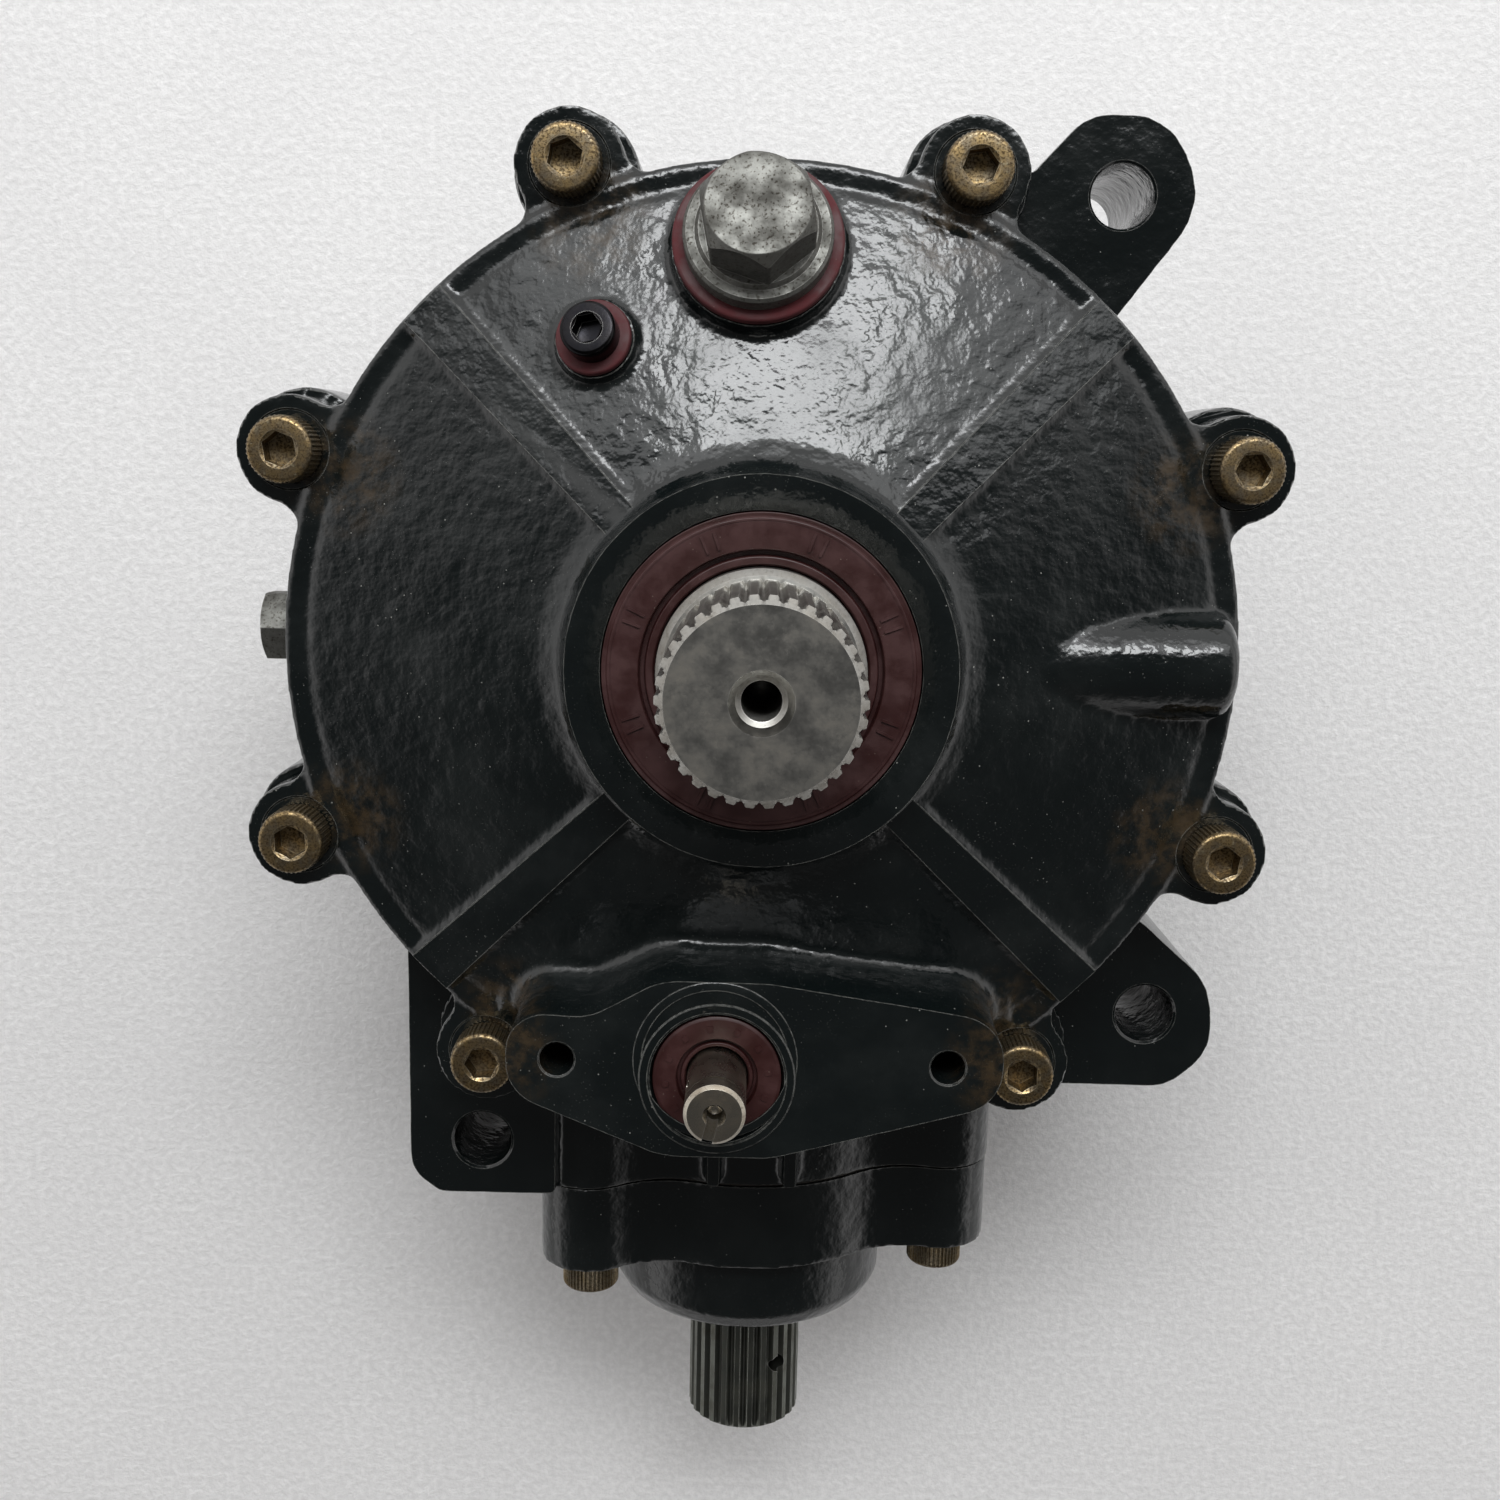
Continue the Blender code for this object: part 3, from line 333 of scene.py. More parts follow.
def flange_outline(rim, places, radius, fillet):
    """Round flange whose bolt lugs are circles blended in by fillets."""
    blends = []
    for x, y in places:
        centre = math.hypot(x, y)
        a = rim + fillet
        b = radius + fillet
        lean = math.degrees(math.acos((a * a + centre * centre - b * b) / (2 * a * centre)))
        fx = a * math.cos(math.radians(lean))
        fy = a * math.sin(math.radians(lean))
        touch = math.degrees(math.atan2(fy, fx - centre))
        upper = arc(fx, fy, fillet, touch + 180.0, lean + 180.0, 8)
        nose = arc(centre, 0.0, radius, -touch, touch, 32)
        lower = [(px, -py) for px, py in reversed(upper)]
        bearing = math.degrees(math.atan2(y, x)) % 360.0
        blends.append((bearing, lean, turned(lower + nose[1:-1] + upper, bearing)))
    blends.sort()
    points = []
    for k, (bearing, lean, lug) in enumerate(blends):
        points += lug
        after = blends[(k + 1) % len(blends)]
        start = bearing + lean
        end = after[0] - after[1]
        while end < start:
            end += 360.0
        points += arc(0.0, 0.0, rim, start, end, max(2, round((end - start) / 1.5)))[1:-1]
    return points


def cone_height(radius):
    slope = (CONE_HEAD[1] - CONE_FOOT[1]) / (CONE_FOOT[0] - CONE_HEAD[0])
    if radius > CONE_FOOT[0]:
        return RIM_Z
    return CONE_FOOT[1] + (CONE_FOOT[0] - radius) * slope


# ----------------------------------------------------------------- pieces
def piece(obj, body, mats, replaces=(), angle=38.0):
    """Give a finished piece its materials and shading, hang it under its body, and hide the CAD nodes it
    stands for.
    """
    obj.data.materials.clear()
    for mat in mats if isinstance(mats, (list, tuple)) else [mats]:
        obj.data.materials.append(mat)
    shade(obj, angle)
    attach(obj, body)
    if replaces:
        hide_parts(*replaces)
    return obj


# -------------------------------------------------------------- materials
class Look:
    """A Principled material built node by node in object coordinates (metres)."""

    def __init__(self, name, metallic=0.0, **fixed):
        self.mat = bpy.data.materials.new(name)
        self.mat.use_nodes = True
        self.tree = self.mat.node_tree
        self.shader = self.tree.nodes["Principled BSDF"]
        self.shader.inputs["Metallic"].default_value = metallic
        for key, value in fixed.items():
            self.shader.inputs[key.replace("_", " ")].default_value = value
        self.place = self.tree.nodes.new("ShaderNodeTexCoord").outputs["Object"]

    def put(self, kind, inputs, out=0, **settings):
        node = self.tree.nodes.new("ShaderNode" + kind)
        for key, value in settings.items():
            setattr(node, key, value)
        for key, value in inputs.items():
            if isinstance(value, bpy.types.NodeSocket):
                self.tree.links.new(value, node.inputs[key])
            else:
                node.inputs[key].default_value = value
        return node.outputs[out]

    def math(self, operation, a, b=0.0, c=0.0, clamp=False):
        return self.put("Math", {0: a, 1: b, 2: c}, operation=operation, use_clamp=clamp)

    def noise(self, size, detail=4.0, rough=0.55, stretch=None, seed=0.0, distortion=0.0):
        """Fractal noise whose blobs are about the given size in millimetres."""
        where = self.place
        if stretch or seed:
            where = self.put("Mapping", {"Vector": where, "Scale": stretch or (1, 1, 1),
                                         "Location": (seed, seed * 0.7, -seed)})
        return self.put("TexNoise", {"Vector": where, "Scale": 1.0 / (size * MM), "Detail": detail,
                                     "Roughness": rough, "Distortion": distortion})

    def cells(self, size, feature="F1", seed=0.0, randomness=1.0):
        where = self.put("Mapping", {"Vector": self.place, "Location": (seed, -seed, seed * 0.5)})
        return self.put("TexVoronoi", {"Vector": where, "Scale": 1.0 / (size * MM), "Randomness": randomness},
                        feature=feature)

    def ramp(self, value, *stops, smooth=True):
        """Map a value through (position, grey or colour) stops."""
        node = self.tree.nodes.new("ShaderNodeValToRGB")
        node.color_ramp.interpolation = "EASE" if smooth else "LINEAR"
        band = node.color_ramp.elements
        while len(band) < len(stops):
            band.new(0.5)
        for mark, (position, colour) in zip(band, stops):
            mark.position = position
            tone = (colour,) * 3 if isinstance(colour, (int, float)) else colour
            mark.color = (*tone, 1.0)
        self.tree.links.new(value, node.inputs[0])
        return node.outputs[0]

    def mix(self, share, a, b, blend="MIX"):
        node = self.tree.nodes.new("ShaderNodeMix")
        node.data_type = "RGBA"
        node.blend_type = blend
        for index, value in ((0, share), (6, a), (7, b)):
            if isinstance(value, bpy.types.NodeSocket):
                self.tree.links.new(value, node.inputs[index])
            elif index == 0:
                node.inputs[index].default_value = value
            else:
                node.inputs[index].default_value = (*value, 1.0)
        return node.outputs[2]

    def axis(self, name):
        return self.put("SeparateXYZ", {"Vector": self.place}, out="XYZ".index(name))

    def radius(self, centre=(0.0, 0.0), plane="XY"):
        """Distance in millimetres from an axis through centre, across a plane."""
        a = self.math("SUBTRACT", self.axis(plane[0]), centre[0] * MM)
        b = self.math("SUBTRACT", self.axis(plane[1]), centre[1] * MM)
        squares = self.math("ADD", self.math("MULTIPLY", a, a), self.math("MULTIPLY", b, b))
        return self.math("MULTIPLY", self.math("SQRT", squares), 1000.0)

    def band(self, value, low, high, soft):
        """1 between low and high, falling off over soft on both sides."""
        rise = self.put("MapRange", {0: value, 1: low - soft, 2: low, 3: 0.0, 4: 1.0})
        fall = self.put("MapRange", {0: value, 1: high, 2: high + soft, 3: 1.0, 4: 0.0})
        return self.math("MULTIPLY", rise, fall)

    def edges(self, size, strength=5.0):
        """White along convex and concave edges tighter than size millimetres."""
        soft = self.put("Bevel", {"Radius": size * MM}, samples=4)
        sharp = self.put("NewGeometry", {}, out=1)
        facing = self.put("VectorMath", {0: soft, 1: sharp}, out=1, operation="DOT_PRODUCT")
        return self.math("MULTIPLY", self.math("SUBTRACT", 1.0, facing), strength, clamp=True)

    def bump(self, height, strength, depth, under=None):
        inputs = {"Height": height, "Strength": strength, "Distance": depth * MM}
        if under is not None:
            inputs["Normal"] = under
        return self.put("Bump", inputs)

    def done(self, colour=None, roughness=None, normal=None, metallic=None):
        for key, value in (("Base Color", colour), ("Roughness", roughness), ("Normal", normal),
                           ("Metallic", metallic)):
            if isinstance(value, bpy.types.NodeSocket):
                self.tree.links.new(value, self.shader.inputs[key])
        return self.mat


def black_paint(name, dust=1.0, rough_grain=1.0, stains_and_reflections=()):
    """Glossy black enamel over sand-cast metal, dusty, chipped on edges, with brown patches round given
    centres: tarnish on the machined faces, painted reflection of the zinc screws round the cover bolts.
    """
    look = Look(name, IOR=1.52)
    ripple = look.noise(2.6, 2.0, 0.5)
    peel = look.noise(0.9, 2.0, 0.5, seed=3.0)
    broad = look.noise(9.0, 2.0, 0.5, seed=7.0)
    normal = look.bump(broad, 0.5 * rough_grain, 0.8)
    normal = look.bump(ripple, 0.55 * rough_grain, 0.42, normal)
    normal = look.bump(peel, 0.5 * rough_grain, 0.09, normal)
    dirt_field = look.noise(22.0, 4.0, 0.6, seed=11.0)
    film = look.math("MULTIPLY", look.ramp(dirt_field, (0.42, 0.0), (0.72, 1.0)), 0.05 * dust)
    specks = look.ramp(look.cells(1.7, seed=5.0), (0.0, 1.0), (0.075, 1.0), (0.10, 0.0), (1.0, 0.0))
    where = look.ramp(look.noise(30.0, 3.0, 0.6, seed=19.0), (0.40, 0.0), (0.62, 1.0))
    chosen = look.ramp(look.noise(1.9, 1.0, 0.5, seed=23.0), (0.50, 0.0), (0.60, 1.0))
    specks = look.math("MULTIPLY", look.math("MULTIPLY", specks, where), chosen)
    fine = look.ramp(look.cells(0.62, seed=41.0), (0.0, 1.0), (0.07, 1.0), (0.11, 0.0), (1.0, 0.0))
    fine = look.math("MULTIPLY", fine, look.ramp(look.noise(24.0, 3.0, 0.6, seed=43.0), (0.36, 0.0),
                                                 (0.66, 0.5)))
    specks = look.math("ADD", specks, fine, clamp=True)
    specks = look.math("MULTIPLY", specks, 0.6 * dust, clamp=True)
    colour = look.mix(film, (0.0030, 0.0048, 0.0050), (0.10, 0.11, 0.105))
    colour = look.mix(specks, colour, (0.36, 0.36, 0.33))
    roughness = look.ramp(look.noise(14.0, 3.0, 0.5, seed=29.0), (0.3, 0.11), (0.75, 0.21))
    roughness = look.math("ADD", roughness, look.math("MULTIPLY", film, 1.6))
    roughness = look.math("ADD", roughness, look.math("MULTIPLY", specks, 0.8), clamp=True)
    # Brown patches round each centre: real tarnish on the machined faces, painted reflection of the zinc
    # screws round the cover bolts.
    for centre, reach in stains_and_reflections:
        away = look.radius(centre)
        spot = look.put("MapRange", {0: away, 1: reach * 0.45, 2: reach, 3: 1.0, 4: 0.0})
        patch_mottle = look.ramp(look.noise(4.0, 4.0, 0.65, seed=31.0), (0.38, 0.0), (0.70, 1.0))
        share = look.math("MULTIPLY", look.math("MULTIPLY", spot, patch_mottle), 0.55)
        colour = look.mix(share, colour, (0.060, 0.036, 0.014))
        roughness = look.math("ADD", roughness, look.math("MULTIPLY", share, 0.35), clamp=True)
    worn = look.math("MULTIPLY", look.edges(0.28, 6.0),
                     look.ramp(look.noise(1.6, 5.0, 0.7, seed=37.0), (0.36, 0.25), (0.58, 1.0)))
    colour = look.mix(worn, colour, (0.19, 0.19, 0.175))
    roughness = look.math("ADD", roughness, look.math("MULTIPLY", worn, 0.3), clamp=True)
    return look.done(colour, roughness, normal)


def bare_steel(name, tone, ring_plane=None, rough=0.34, stain=(0.16, 0.13, 0.09), stain_amount=0.35,
               axis_stretch=None, spots=0.0):
    """Machined steel: tool marks, faint stains and bright worn edges."""
    look = Look(name, metallic=1.0)
    if ring_plane:
        away = look.radius(ring_plane[1], ring_plane[0])
        marks = look.put("TexNoise", {"Vector": look.put("CombineXYZ", {0: away, 1: 0.0, 2: 0.0}),
                                      "Scale": 6.0, "Detail": 6.0, "Roughness": 0.75})
    else:
        marks = look.noise(0.7, 5.0, 0.7, stretch=axis_stretch or (1.0, 1.0, 0.05))
    blotch = look.noise(5.0, 5.0, 0.6, seed=2.0)
    colour = look.mix(look.ramp(blotch, (0.35, 0.0), (0.75, stain_amount)), tone, stain)
    colour = look.mix(look.ramp(marks, (0.35, 0.0), (0.7, 0.30)), colour, tuple(c * 0.55 for c in tone))
    roughness = look.ramp(blotch, (0.3, rough * 0.75), (0.75, rough * 1.35))
    if spots > 0.0:
        pit = look.ramp(look.noise(0.55, 3.0, 0.6, seed=9.0), (0.56, 0.0), (0.64, spots))
        colour = look.mix(pit, colour, (0.045, 0.032, 0.020))
        roughness = look.math("ADD", roughness, look.math("MULTIPLY", pit, 0.35), clamp=True)
    bright = look.math("MULTIPLY", look.edges(0.25, 4.0), 0.7)
    colour = look.mix(bright, colour, (0.72, 0.71, 0.68))
    normal = look.bump(marks, 0.25, 0.03)
    normal = look.bump(look.noise(1.2, 4.0, 0.6, seed=4.0), 0.25, 0.05, normal)
    return look.done(colour, roughness, normal)


def zinc_plate(name, warmth=1.0):
    """Yellow-zinc plated screw, tarnished to bronze with grey wear and dark spots."""
    look = Look(name, metallic=1.0)
    cloud = look.noise(3.2, 5.0, 0.65, seed=1.0)
    fine = look.noise(0.5, 4.0, 0.7, seed=6.0)
    colour = look.mix(look.ramp(cloud, (0.36, 0.0), (0.66, 1.0)),
                      (0.31 * warmth, 0.22 * warmth, 0.105 * warmth), (0.20, 0.165, 0.115))
    colour = look.mix(look.ramp(fine, (0.44, 0.0), (0.60, 0.9)), colour, (0.050, 0.033, 0.018))
    pale = look.ramp(look.noise(0.9, 4.0, 0.7, seed=12.0), (0.60, 0.0), (0.70, 0.6))
    colour = look.mix(pale, colour, (0.42, 0.37, 0.25))
    colour = look.mix(look.math("MULTIPLY", look.edges(0.3, 4.0), 0.8), colour, (0.62, 0.56, 0.42))
    roughness = look.ramp(fine, (0.3, 0.28), (0.7, 0.62))
    normal = look.bump(fine, 0.35, 0.05)
    return look.done(colour, roughness, normal)


def soft_rubber(name, tone, rough=0.42, index=1.5):
    """Moulded rubber with a faint bloom and fine moulding texture."""
    look = Look(name, IOR=index)
    cloud = look.noise(6.0, 4.0, 0.6, seed=1.0)
    fine = look.noise(0.35, 3.0, 0.6, seed=2.0)
    colour = look.mix(look.ramp(cloud, (0.35, 0.0), (0.7, 1.0)), tone, tuple(c * 1.55 + 0.004 for c in tone))
    dust = look.ramp(look.cells(1.3, seed=4.0), (0.0, 0.5), (0.06, 0.5), (0.09, 0.0), (1.0, 0.0))
    dust = look.math("MULTIPLY", dust, look.ramp(look.noise(5.0, 2.0, 0.5, seed=8.0), (0.5, 0.0),
                                                 (0.65, 1.0)))
    colour = look.mix(dust, colour, (0.30, 0.24, 0.20))
    roughness = look.ramp(cloud, (0.3, rough * 0.8), (0.7, rough * 1.3))
    return look.done(colour, roughness, look.bump(fine, 0.25, 0.04))


def foam_sheet():
    """Pale packing foam for the floor."""
    look = Look("pale_floor", Specular_IOR_Level=0.25)
    fine = look.noise(2.0, 5.0, 0.65)
    broad = look.noise(60.0, 2.0, 0.5, seed=3.0)
    colour = look.mix(look.ramp(fine, (0.35, 0.0), (0.7, 1.0)), (0.78, 0.77, 0.765), (0.90, 0.89, 0.885))
    colour = look.mix(look.ramp(broad, (0.3, 0.0), (0.7, 0.25)), colour, (0.74, 0.73, 0.73))
    roughness = look.ramp(fine, (0.3, 0.45), (0.7, 0.75))
    return look.done(colour, roughness, look.bump(fine, 0.4, 1.0))


# Painted reflection: brown patches just inside each cover bolt stand for the zinc screws mirrored in the
# gloss paint.
PAINTED_BOLT_REFLECTIONS = [((x * 0.88, y * 0.88), 13.0) for x, y in BOLTS]
PAINT = black_paint("black_enamel", stains_and_reflections=PAINTED_BOLT_REFLECTIONS)
PAINT_PLAIN = black_paint("black_enamel_body", dust=0.7)
TARNISH = [((16.0, 29.0), 17.0), ((31.0, 12.0), 11.0), ((-28.0, -17.0), 9.0), ((-12.0, 32.0), 10.0)]
MACHINED_BLACK = black_paint("black_enamel_machined", dust=1.0, rough_grain=0.12, stains_and_reflections=TARNISH)
HUB_BEVEL = bare_steel("worn_bevel", (0.12, 0.075, 0.045), ("XY", (0.0, 0.0)), 0.5, (0.03, 0.018, 0.012), 0.8,
                       spots=0.6)
TURNED = bare_steel("turned_steel", (0.36, 0.355, 0.34), ("XY", (0.0, 0.0)), 0.36, (0.25, 0.24, 0.20), 0.4)
INPUT_STEEL = bare_steel("input_steel", (0.15, 0.158, 0.14), None, 0.42, (0.08, 0.075, 0.055), 0.6,
                         axis_stretch=(1.0, 0.04, 1.0))
SELECTOR_STEEL = bare_steel("selector_steel", (0.42, 0.39, 0.33), ("XY", tuple(SELECTOR.xy)), 0.3,
                            (0.20, 0.14, 0.08), 0.5, spots=0.35)
PLUG_STEEL = bare_steel("galvanised_plug", (0.17, 0.17, 0.158), None, 0.6, (0.085, 0.08, 0.07), 0.7,
                        axis_stretch=(1, 1, 1), spots=0.5)
BLACK_SCREW = bare_steel("black_oxide", (0.012, 0.012, 0.014), None, 0.22, (0.02, 0.018, 0.017), 0.5)
ZINC = zinc_plate("yellow_zinc_plate")
DARK_ZINC = zinc_plate("dark_zinc_plate", 0.45)
SEAL_RED = soft_rubber("seal_rubber", (0.026, 0.0062, 0.0058))
WASHER_RED = soft_rubber("fibre_washer", (0.050, 0.004, 0.006), 0.7)
# Painted shade: near-black, barely reflective walls that keep the deep ear holes dark.
BORE_PAINTED_SHADE = soft_rubber("bore_painted_shade", (0.012, 0.010, 0.009), 0.85, 1.08)
GASKET = soft_rubber("gasket_sheet", (0.022, 0.018, 0.014), 0.7)
BEARING = bare_steel("bearing_ring_steel", (0.55, 0.55, 0.54), ("XY", (0.0, 0.0)), 0.22)
GEAR = bare_steel("gear_tooth_steel", (0.34, 0.33, 0.32), None, 0.36, axis_stretch=(1, 1, 1))


def paint_faces(obj, rules):
    """Give faces a material slot index by the first rule their centre and normal satisfy."""
    for face in obj.data.polygons:
        centre = face.center / MM
        for index, rule in rules:
            if rule(centre, face.normal):
                face.material_index = index
                break
    return obj


# ------------------------------------------------------------------ cover
def pad_outline():
    corners = [
        (-47.0, -65.6, 9.0), (-31.0, -66.2, 10.0), (-17.5, -58.7, 14.0), (3.0, -58.9, 16.0),
        (48.0, -65.6, 10.0), (47.6, -82.0, 9.0), (4.0, -93.8, 16.0), (-17.0, -93.8, 16.0),
        (-47.0, -81.5, 9.0),
    ]
    return rounded(corners, 12)


def outward(outline):
    """Unit outward normals of a closed outline."""
    normals = []
    area = sum(a[0] * b[1] - b[0] * a[1] for a, b in zip(outline, outline[1:] + outline[:1]))
    side = 1.0 if area > 0 else -1.0
    for i in range(len(outline)):
        before = Vector(outline[i - 1])
        after = Vector(outline[(i + 1) % len(outline)])
        along = (after - before).normalized()
        normals.append(Vector((along.y, -along.x)) * side)
    return normals


def selector_pad():
    """Raised pad whose walls flare into the cover through a foundry fillet."""
    outline = pad_outline()
    normals = outward(outline)
    fillet = 4.5
    sections = []
    for level in (-14.0, 0.0, 0.3, 0.8, 1.6, 2.8, fillet, 1000.0):
        section = []
        for (x, y), normal in zip(outline, normals):
            behind = max(0.0, 1.0 - (x / 52.0) ** 2)
            push = 1.0 + 4.0 * behind if y > -72.0 else -0.3
            floor = cone_height(math.hypot(x, y + push * 0.4))
            z = min(floor + level, PAD_Z + STOCK)
            share = (PAD_Z - z) / (PAD_Z - COVER_Z - 6.0)
            spread = 0.0
            if level < fillet:
                rise = max(level, 0.0)
                spread = fillet - math.sqrt(max(0.0, fillet ** 2 - (fillet - rise) ** 2))
            spot = Vector((x, y + push * share)) + normal * spread
            section.append((spot.x, spot.y, z))
        sections.append(section)
    return loft("pad", sections)


def raised_band(angle, widen=0.0, lift=0.0):
    """Flat band down the cone; widen and lift move its sides and its top."""
    sections = []
    for radius, half, top in ((34.0, 3.4, cone_height(38.0) + 2.2), (38.0, 3.5, cone_height(38.0) + 1.3),
                              (86.5, 4.6, cone_height(86.5) + 1.3), (93.4, 4.8, RIM_Z + 0.9)):
        half += widen
        low = turned([(radius, -half - 0.7), (radius, half + 0.7)], angle)
        high = turned([(radius, half), (radius, -half)], angle)
        sections.append([(x, y, top - 6.0) for x, y in low] + [(x, y, top + lift) for x, y in high])
    return loft("band", sections)


def build_cover():
    body = lathe("cover_body", rounded([
        (0.0, HUB_Z + STOCK), (HUB_RADIUS, HUB_Z + STOCK), (HUB_RADIUS, HUB_Z - 0.4),
        (37.2, 148.0, 4.0), CONE_HEAD, CONE_FOOT, (89.8, RIM_Z - 0.1),
        (93.6, RIM_Z), (RIM_RADIUS, RIM_Z - 0.6), (RIM_RADIUS, COVER_Z + 4.0), (0.0, COVER_Z + 4.0),
    ], 8), 288)
    flange = prism("cover_flange", flange_outline(RIM_RADIUS - 0.2, BOLTS, LUG_RADIUS, 5.0),
                   COVER_Z - STOCK, LUG_TOP)
    shapes = [body, flange, selector_pad()]
    shapes += [raised_band(angle, 0.35, -0.35) for angle in BAND_ANGLES]
    bulge = lathe("bulge", rounded([(0.0, 44.0), (10.2, 44.0), (10.2, 90.0, 2.6), (7.9, 91.6, 1.2),
                                    (0.0, 91.6)], 6), 96)
    placed(bulge, Matrix.Rotation(math.radians(90.0), 4, "Y"))
    shapes.append(moved(bulge, 0.0, 0.4, 131.4))
    shapes.append(tilted(cylinder("filler_boss", 16.3, -14.0, 0.4, 96), FILLER_SEAT))
    shapes.append(tilted(cylinder("vent_boss", 7.7, -10.0, 0.4, 64), VENT_SEAT))
    cover = cast("cover_casting", shapes, 0.75, 4, 0.05, 3.5)
    merge(cover, [raised_band(angle) for angle in BAND_ANGLES])

    cutters = [lathe("bore", [
        (0.0, 175.0), (45.0, 175.0), (45.0, HUB_Z), (31.8, HUB_Z), (SEAL_BORE, HUB_Z - 1.4),
        (SEAL_BORE, 147.3),
        (27.0, 147.3), (27.0, 144.7), (34.3, 144.7), (34.3, 129.0), (40.0, 129.0), (42.5, 136.8),
        (82.0, 124.0),
        (84.0, 108.0), (0.0, 108.0)], 192)]
    cutters.append(prism("back_face", circle(0.0, 0.0, 140.0, 16), COVER_Z - 9.0, COVER_Z))
    cutters.append(prism("pad_face", [(-60, -104), (60, -104), (60, -47), (-60, -47)], PAD_Z, PAD_Z + 12.0))
    for x, y in BOLTS:
        cutters.append(moved(cylinder("bolt_hole", 4.5, 100.0, 140.0, 32), x, y))
        seat = lathe("bolt_seat", [(0.0, SPOT_Z), (7.6, SPOT_Z), (8.0, SPOT_Z + 0.4), (8.0, 144.0),
                                   (0.0, 144.0)], 64)
        cutters.append(moved(seat, x, y))
    bore = [(0.0, 100.0), (6.2, 100.0), (6.2, 148.0), (12.5, 148.0), (12.5, 154.2), (13.2, 155.6),
            (13.2, 158.0), (0.0, 158.0)]
    cutters.append(moved(lathe("selector_bore", bore, 96), SELECTOR.x, SELECTOR.y))
    for x in (-37.25, 37.25):
        tap = [(0.0, 136.5), (3.3, 138.0), (3.3, 154.7), (3.7, 155.1), (3.7, 158.0), (0.0, 158.0)]
        cutters.append(moved(lathe("pad_tapping", tap, 48), x, -74.8))
    cutters.append(tilted(cylinder("filler_hole", 11.3, -30.0, 4.0, 64), FILLER_SEAT))
    cutters.append(tilted(cylinder("filler_face", 16.0, 0.0, 4.0, 96), FILLER_SEAT))
    cutters.append(tilted(cylinder("vent_hole", 3.6, -24.0, 4.0, 32), VENT_SEAT))
    cutters.append(tilted(cylinder("vent_face", 7.4, 0.0, 4.0, 64), VENT_SEAT))
    carve(cover, cutters)
    sleeve = lathe("selector_sleeve", [(6.2, 116.2), (12.5, 116.2), (12.5, 139.0), (6.2, 139.0)], 64,
                   closed=True)
    merge(cover, [moved(sleeve, SELECTOR.x, SELECTOR.y)])
    boss = lathe("selector_seat", [(13.3, PAD_Z - 1.0), (14.9, PAD_Z - 1.0), (14.9, PAD_Z + 0.25),
                                   (14.75, PAD_Z + 0.4), (13.3, PAD_Z + 0.4)], 128, closed=True)
    step = lathe("selector_step", [(14.0, PAD_Z - 1.0), (15.6, PAD_Z - 1.0), (15.6, PAD_Z + 0.1),
                                   (15.45, PAD_Z + 0.2), (14.0, PAD_Z + 0.2)], 128, closed=True)
    merge(cover, [moved(boss, SELECTOR.x, SELECTOR.y), moved(step, SELECTOR.x - 0.4, SELECTOR.y + 3.6)])
    taps = [Vector((x, -74.8)) for x in (-37.25, 37.25)]
    paint_faces(cover, (
        (3, lambda c, n: c.z < PAD_Z - 0.01 and min((c.xy - tap).length for tap in taps) < 3.75),
        (2, lambda c, n: abs(c.z - HUB_Z + 0.7) < 0.71 and 29.0 < c.xy.length < 31.9 and 0.2 < n.z < 0.98),
        (3, lambda c, n: n.z > 0.99 and abs(c.z - SPOT_Z) < 0.02 and c.xy.length > 88.0),
        (1, lambda c, n: n.z > 0.995 and (abs(c.z - HUB_Z) < 0.02 or PAD_Z - 0.02 < c.z < PAD_Z + 0.45)),
    ))
    piece(cover, "casing", (PAINT, MACHINED_BLACK, HUB_BEVEL, TURNED), ("cover",))


# ---------------------------------------------------------------- housing
def ear_outlines():
    upper = [(46.0, 60.0), (45.0, 88.0), (51.0, 94.5, 4.0), (62.9, 107.6, 11.0), (79.2, 107.6, 13.5),
             (87.4, 90.8, 13.5), (71.0, 68.6), (58.0, 54.0)]
    right = [(62.0, -50.0), (79.0, -54.4), (99.4, -72.2, 14.0), (101.4, -87.5, 13.0), (91.6, -96.2, 11.0),
             (64.0, -96.0), (50.0, -70.0)]
    left = [(-75.6, -50.0), (-75.6, -119.5, 7.5), (-69.0, -124.8, 5.0), (-43.1, -124.8, 0.8), (-43.1, -53.0)]
    return [rounded(line, 10) for line in (upper, right, left)]


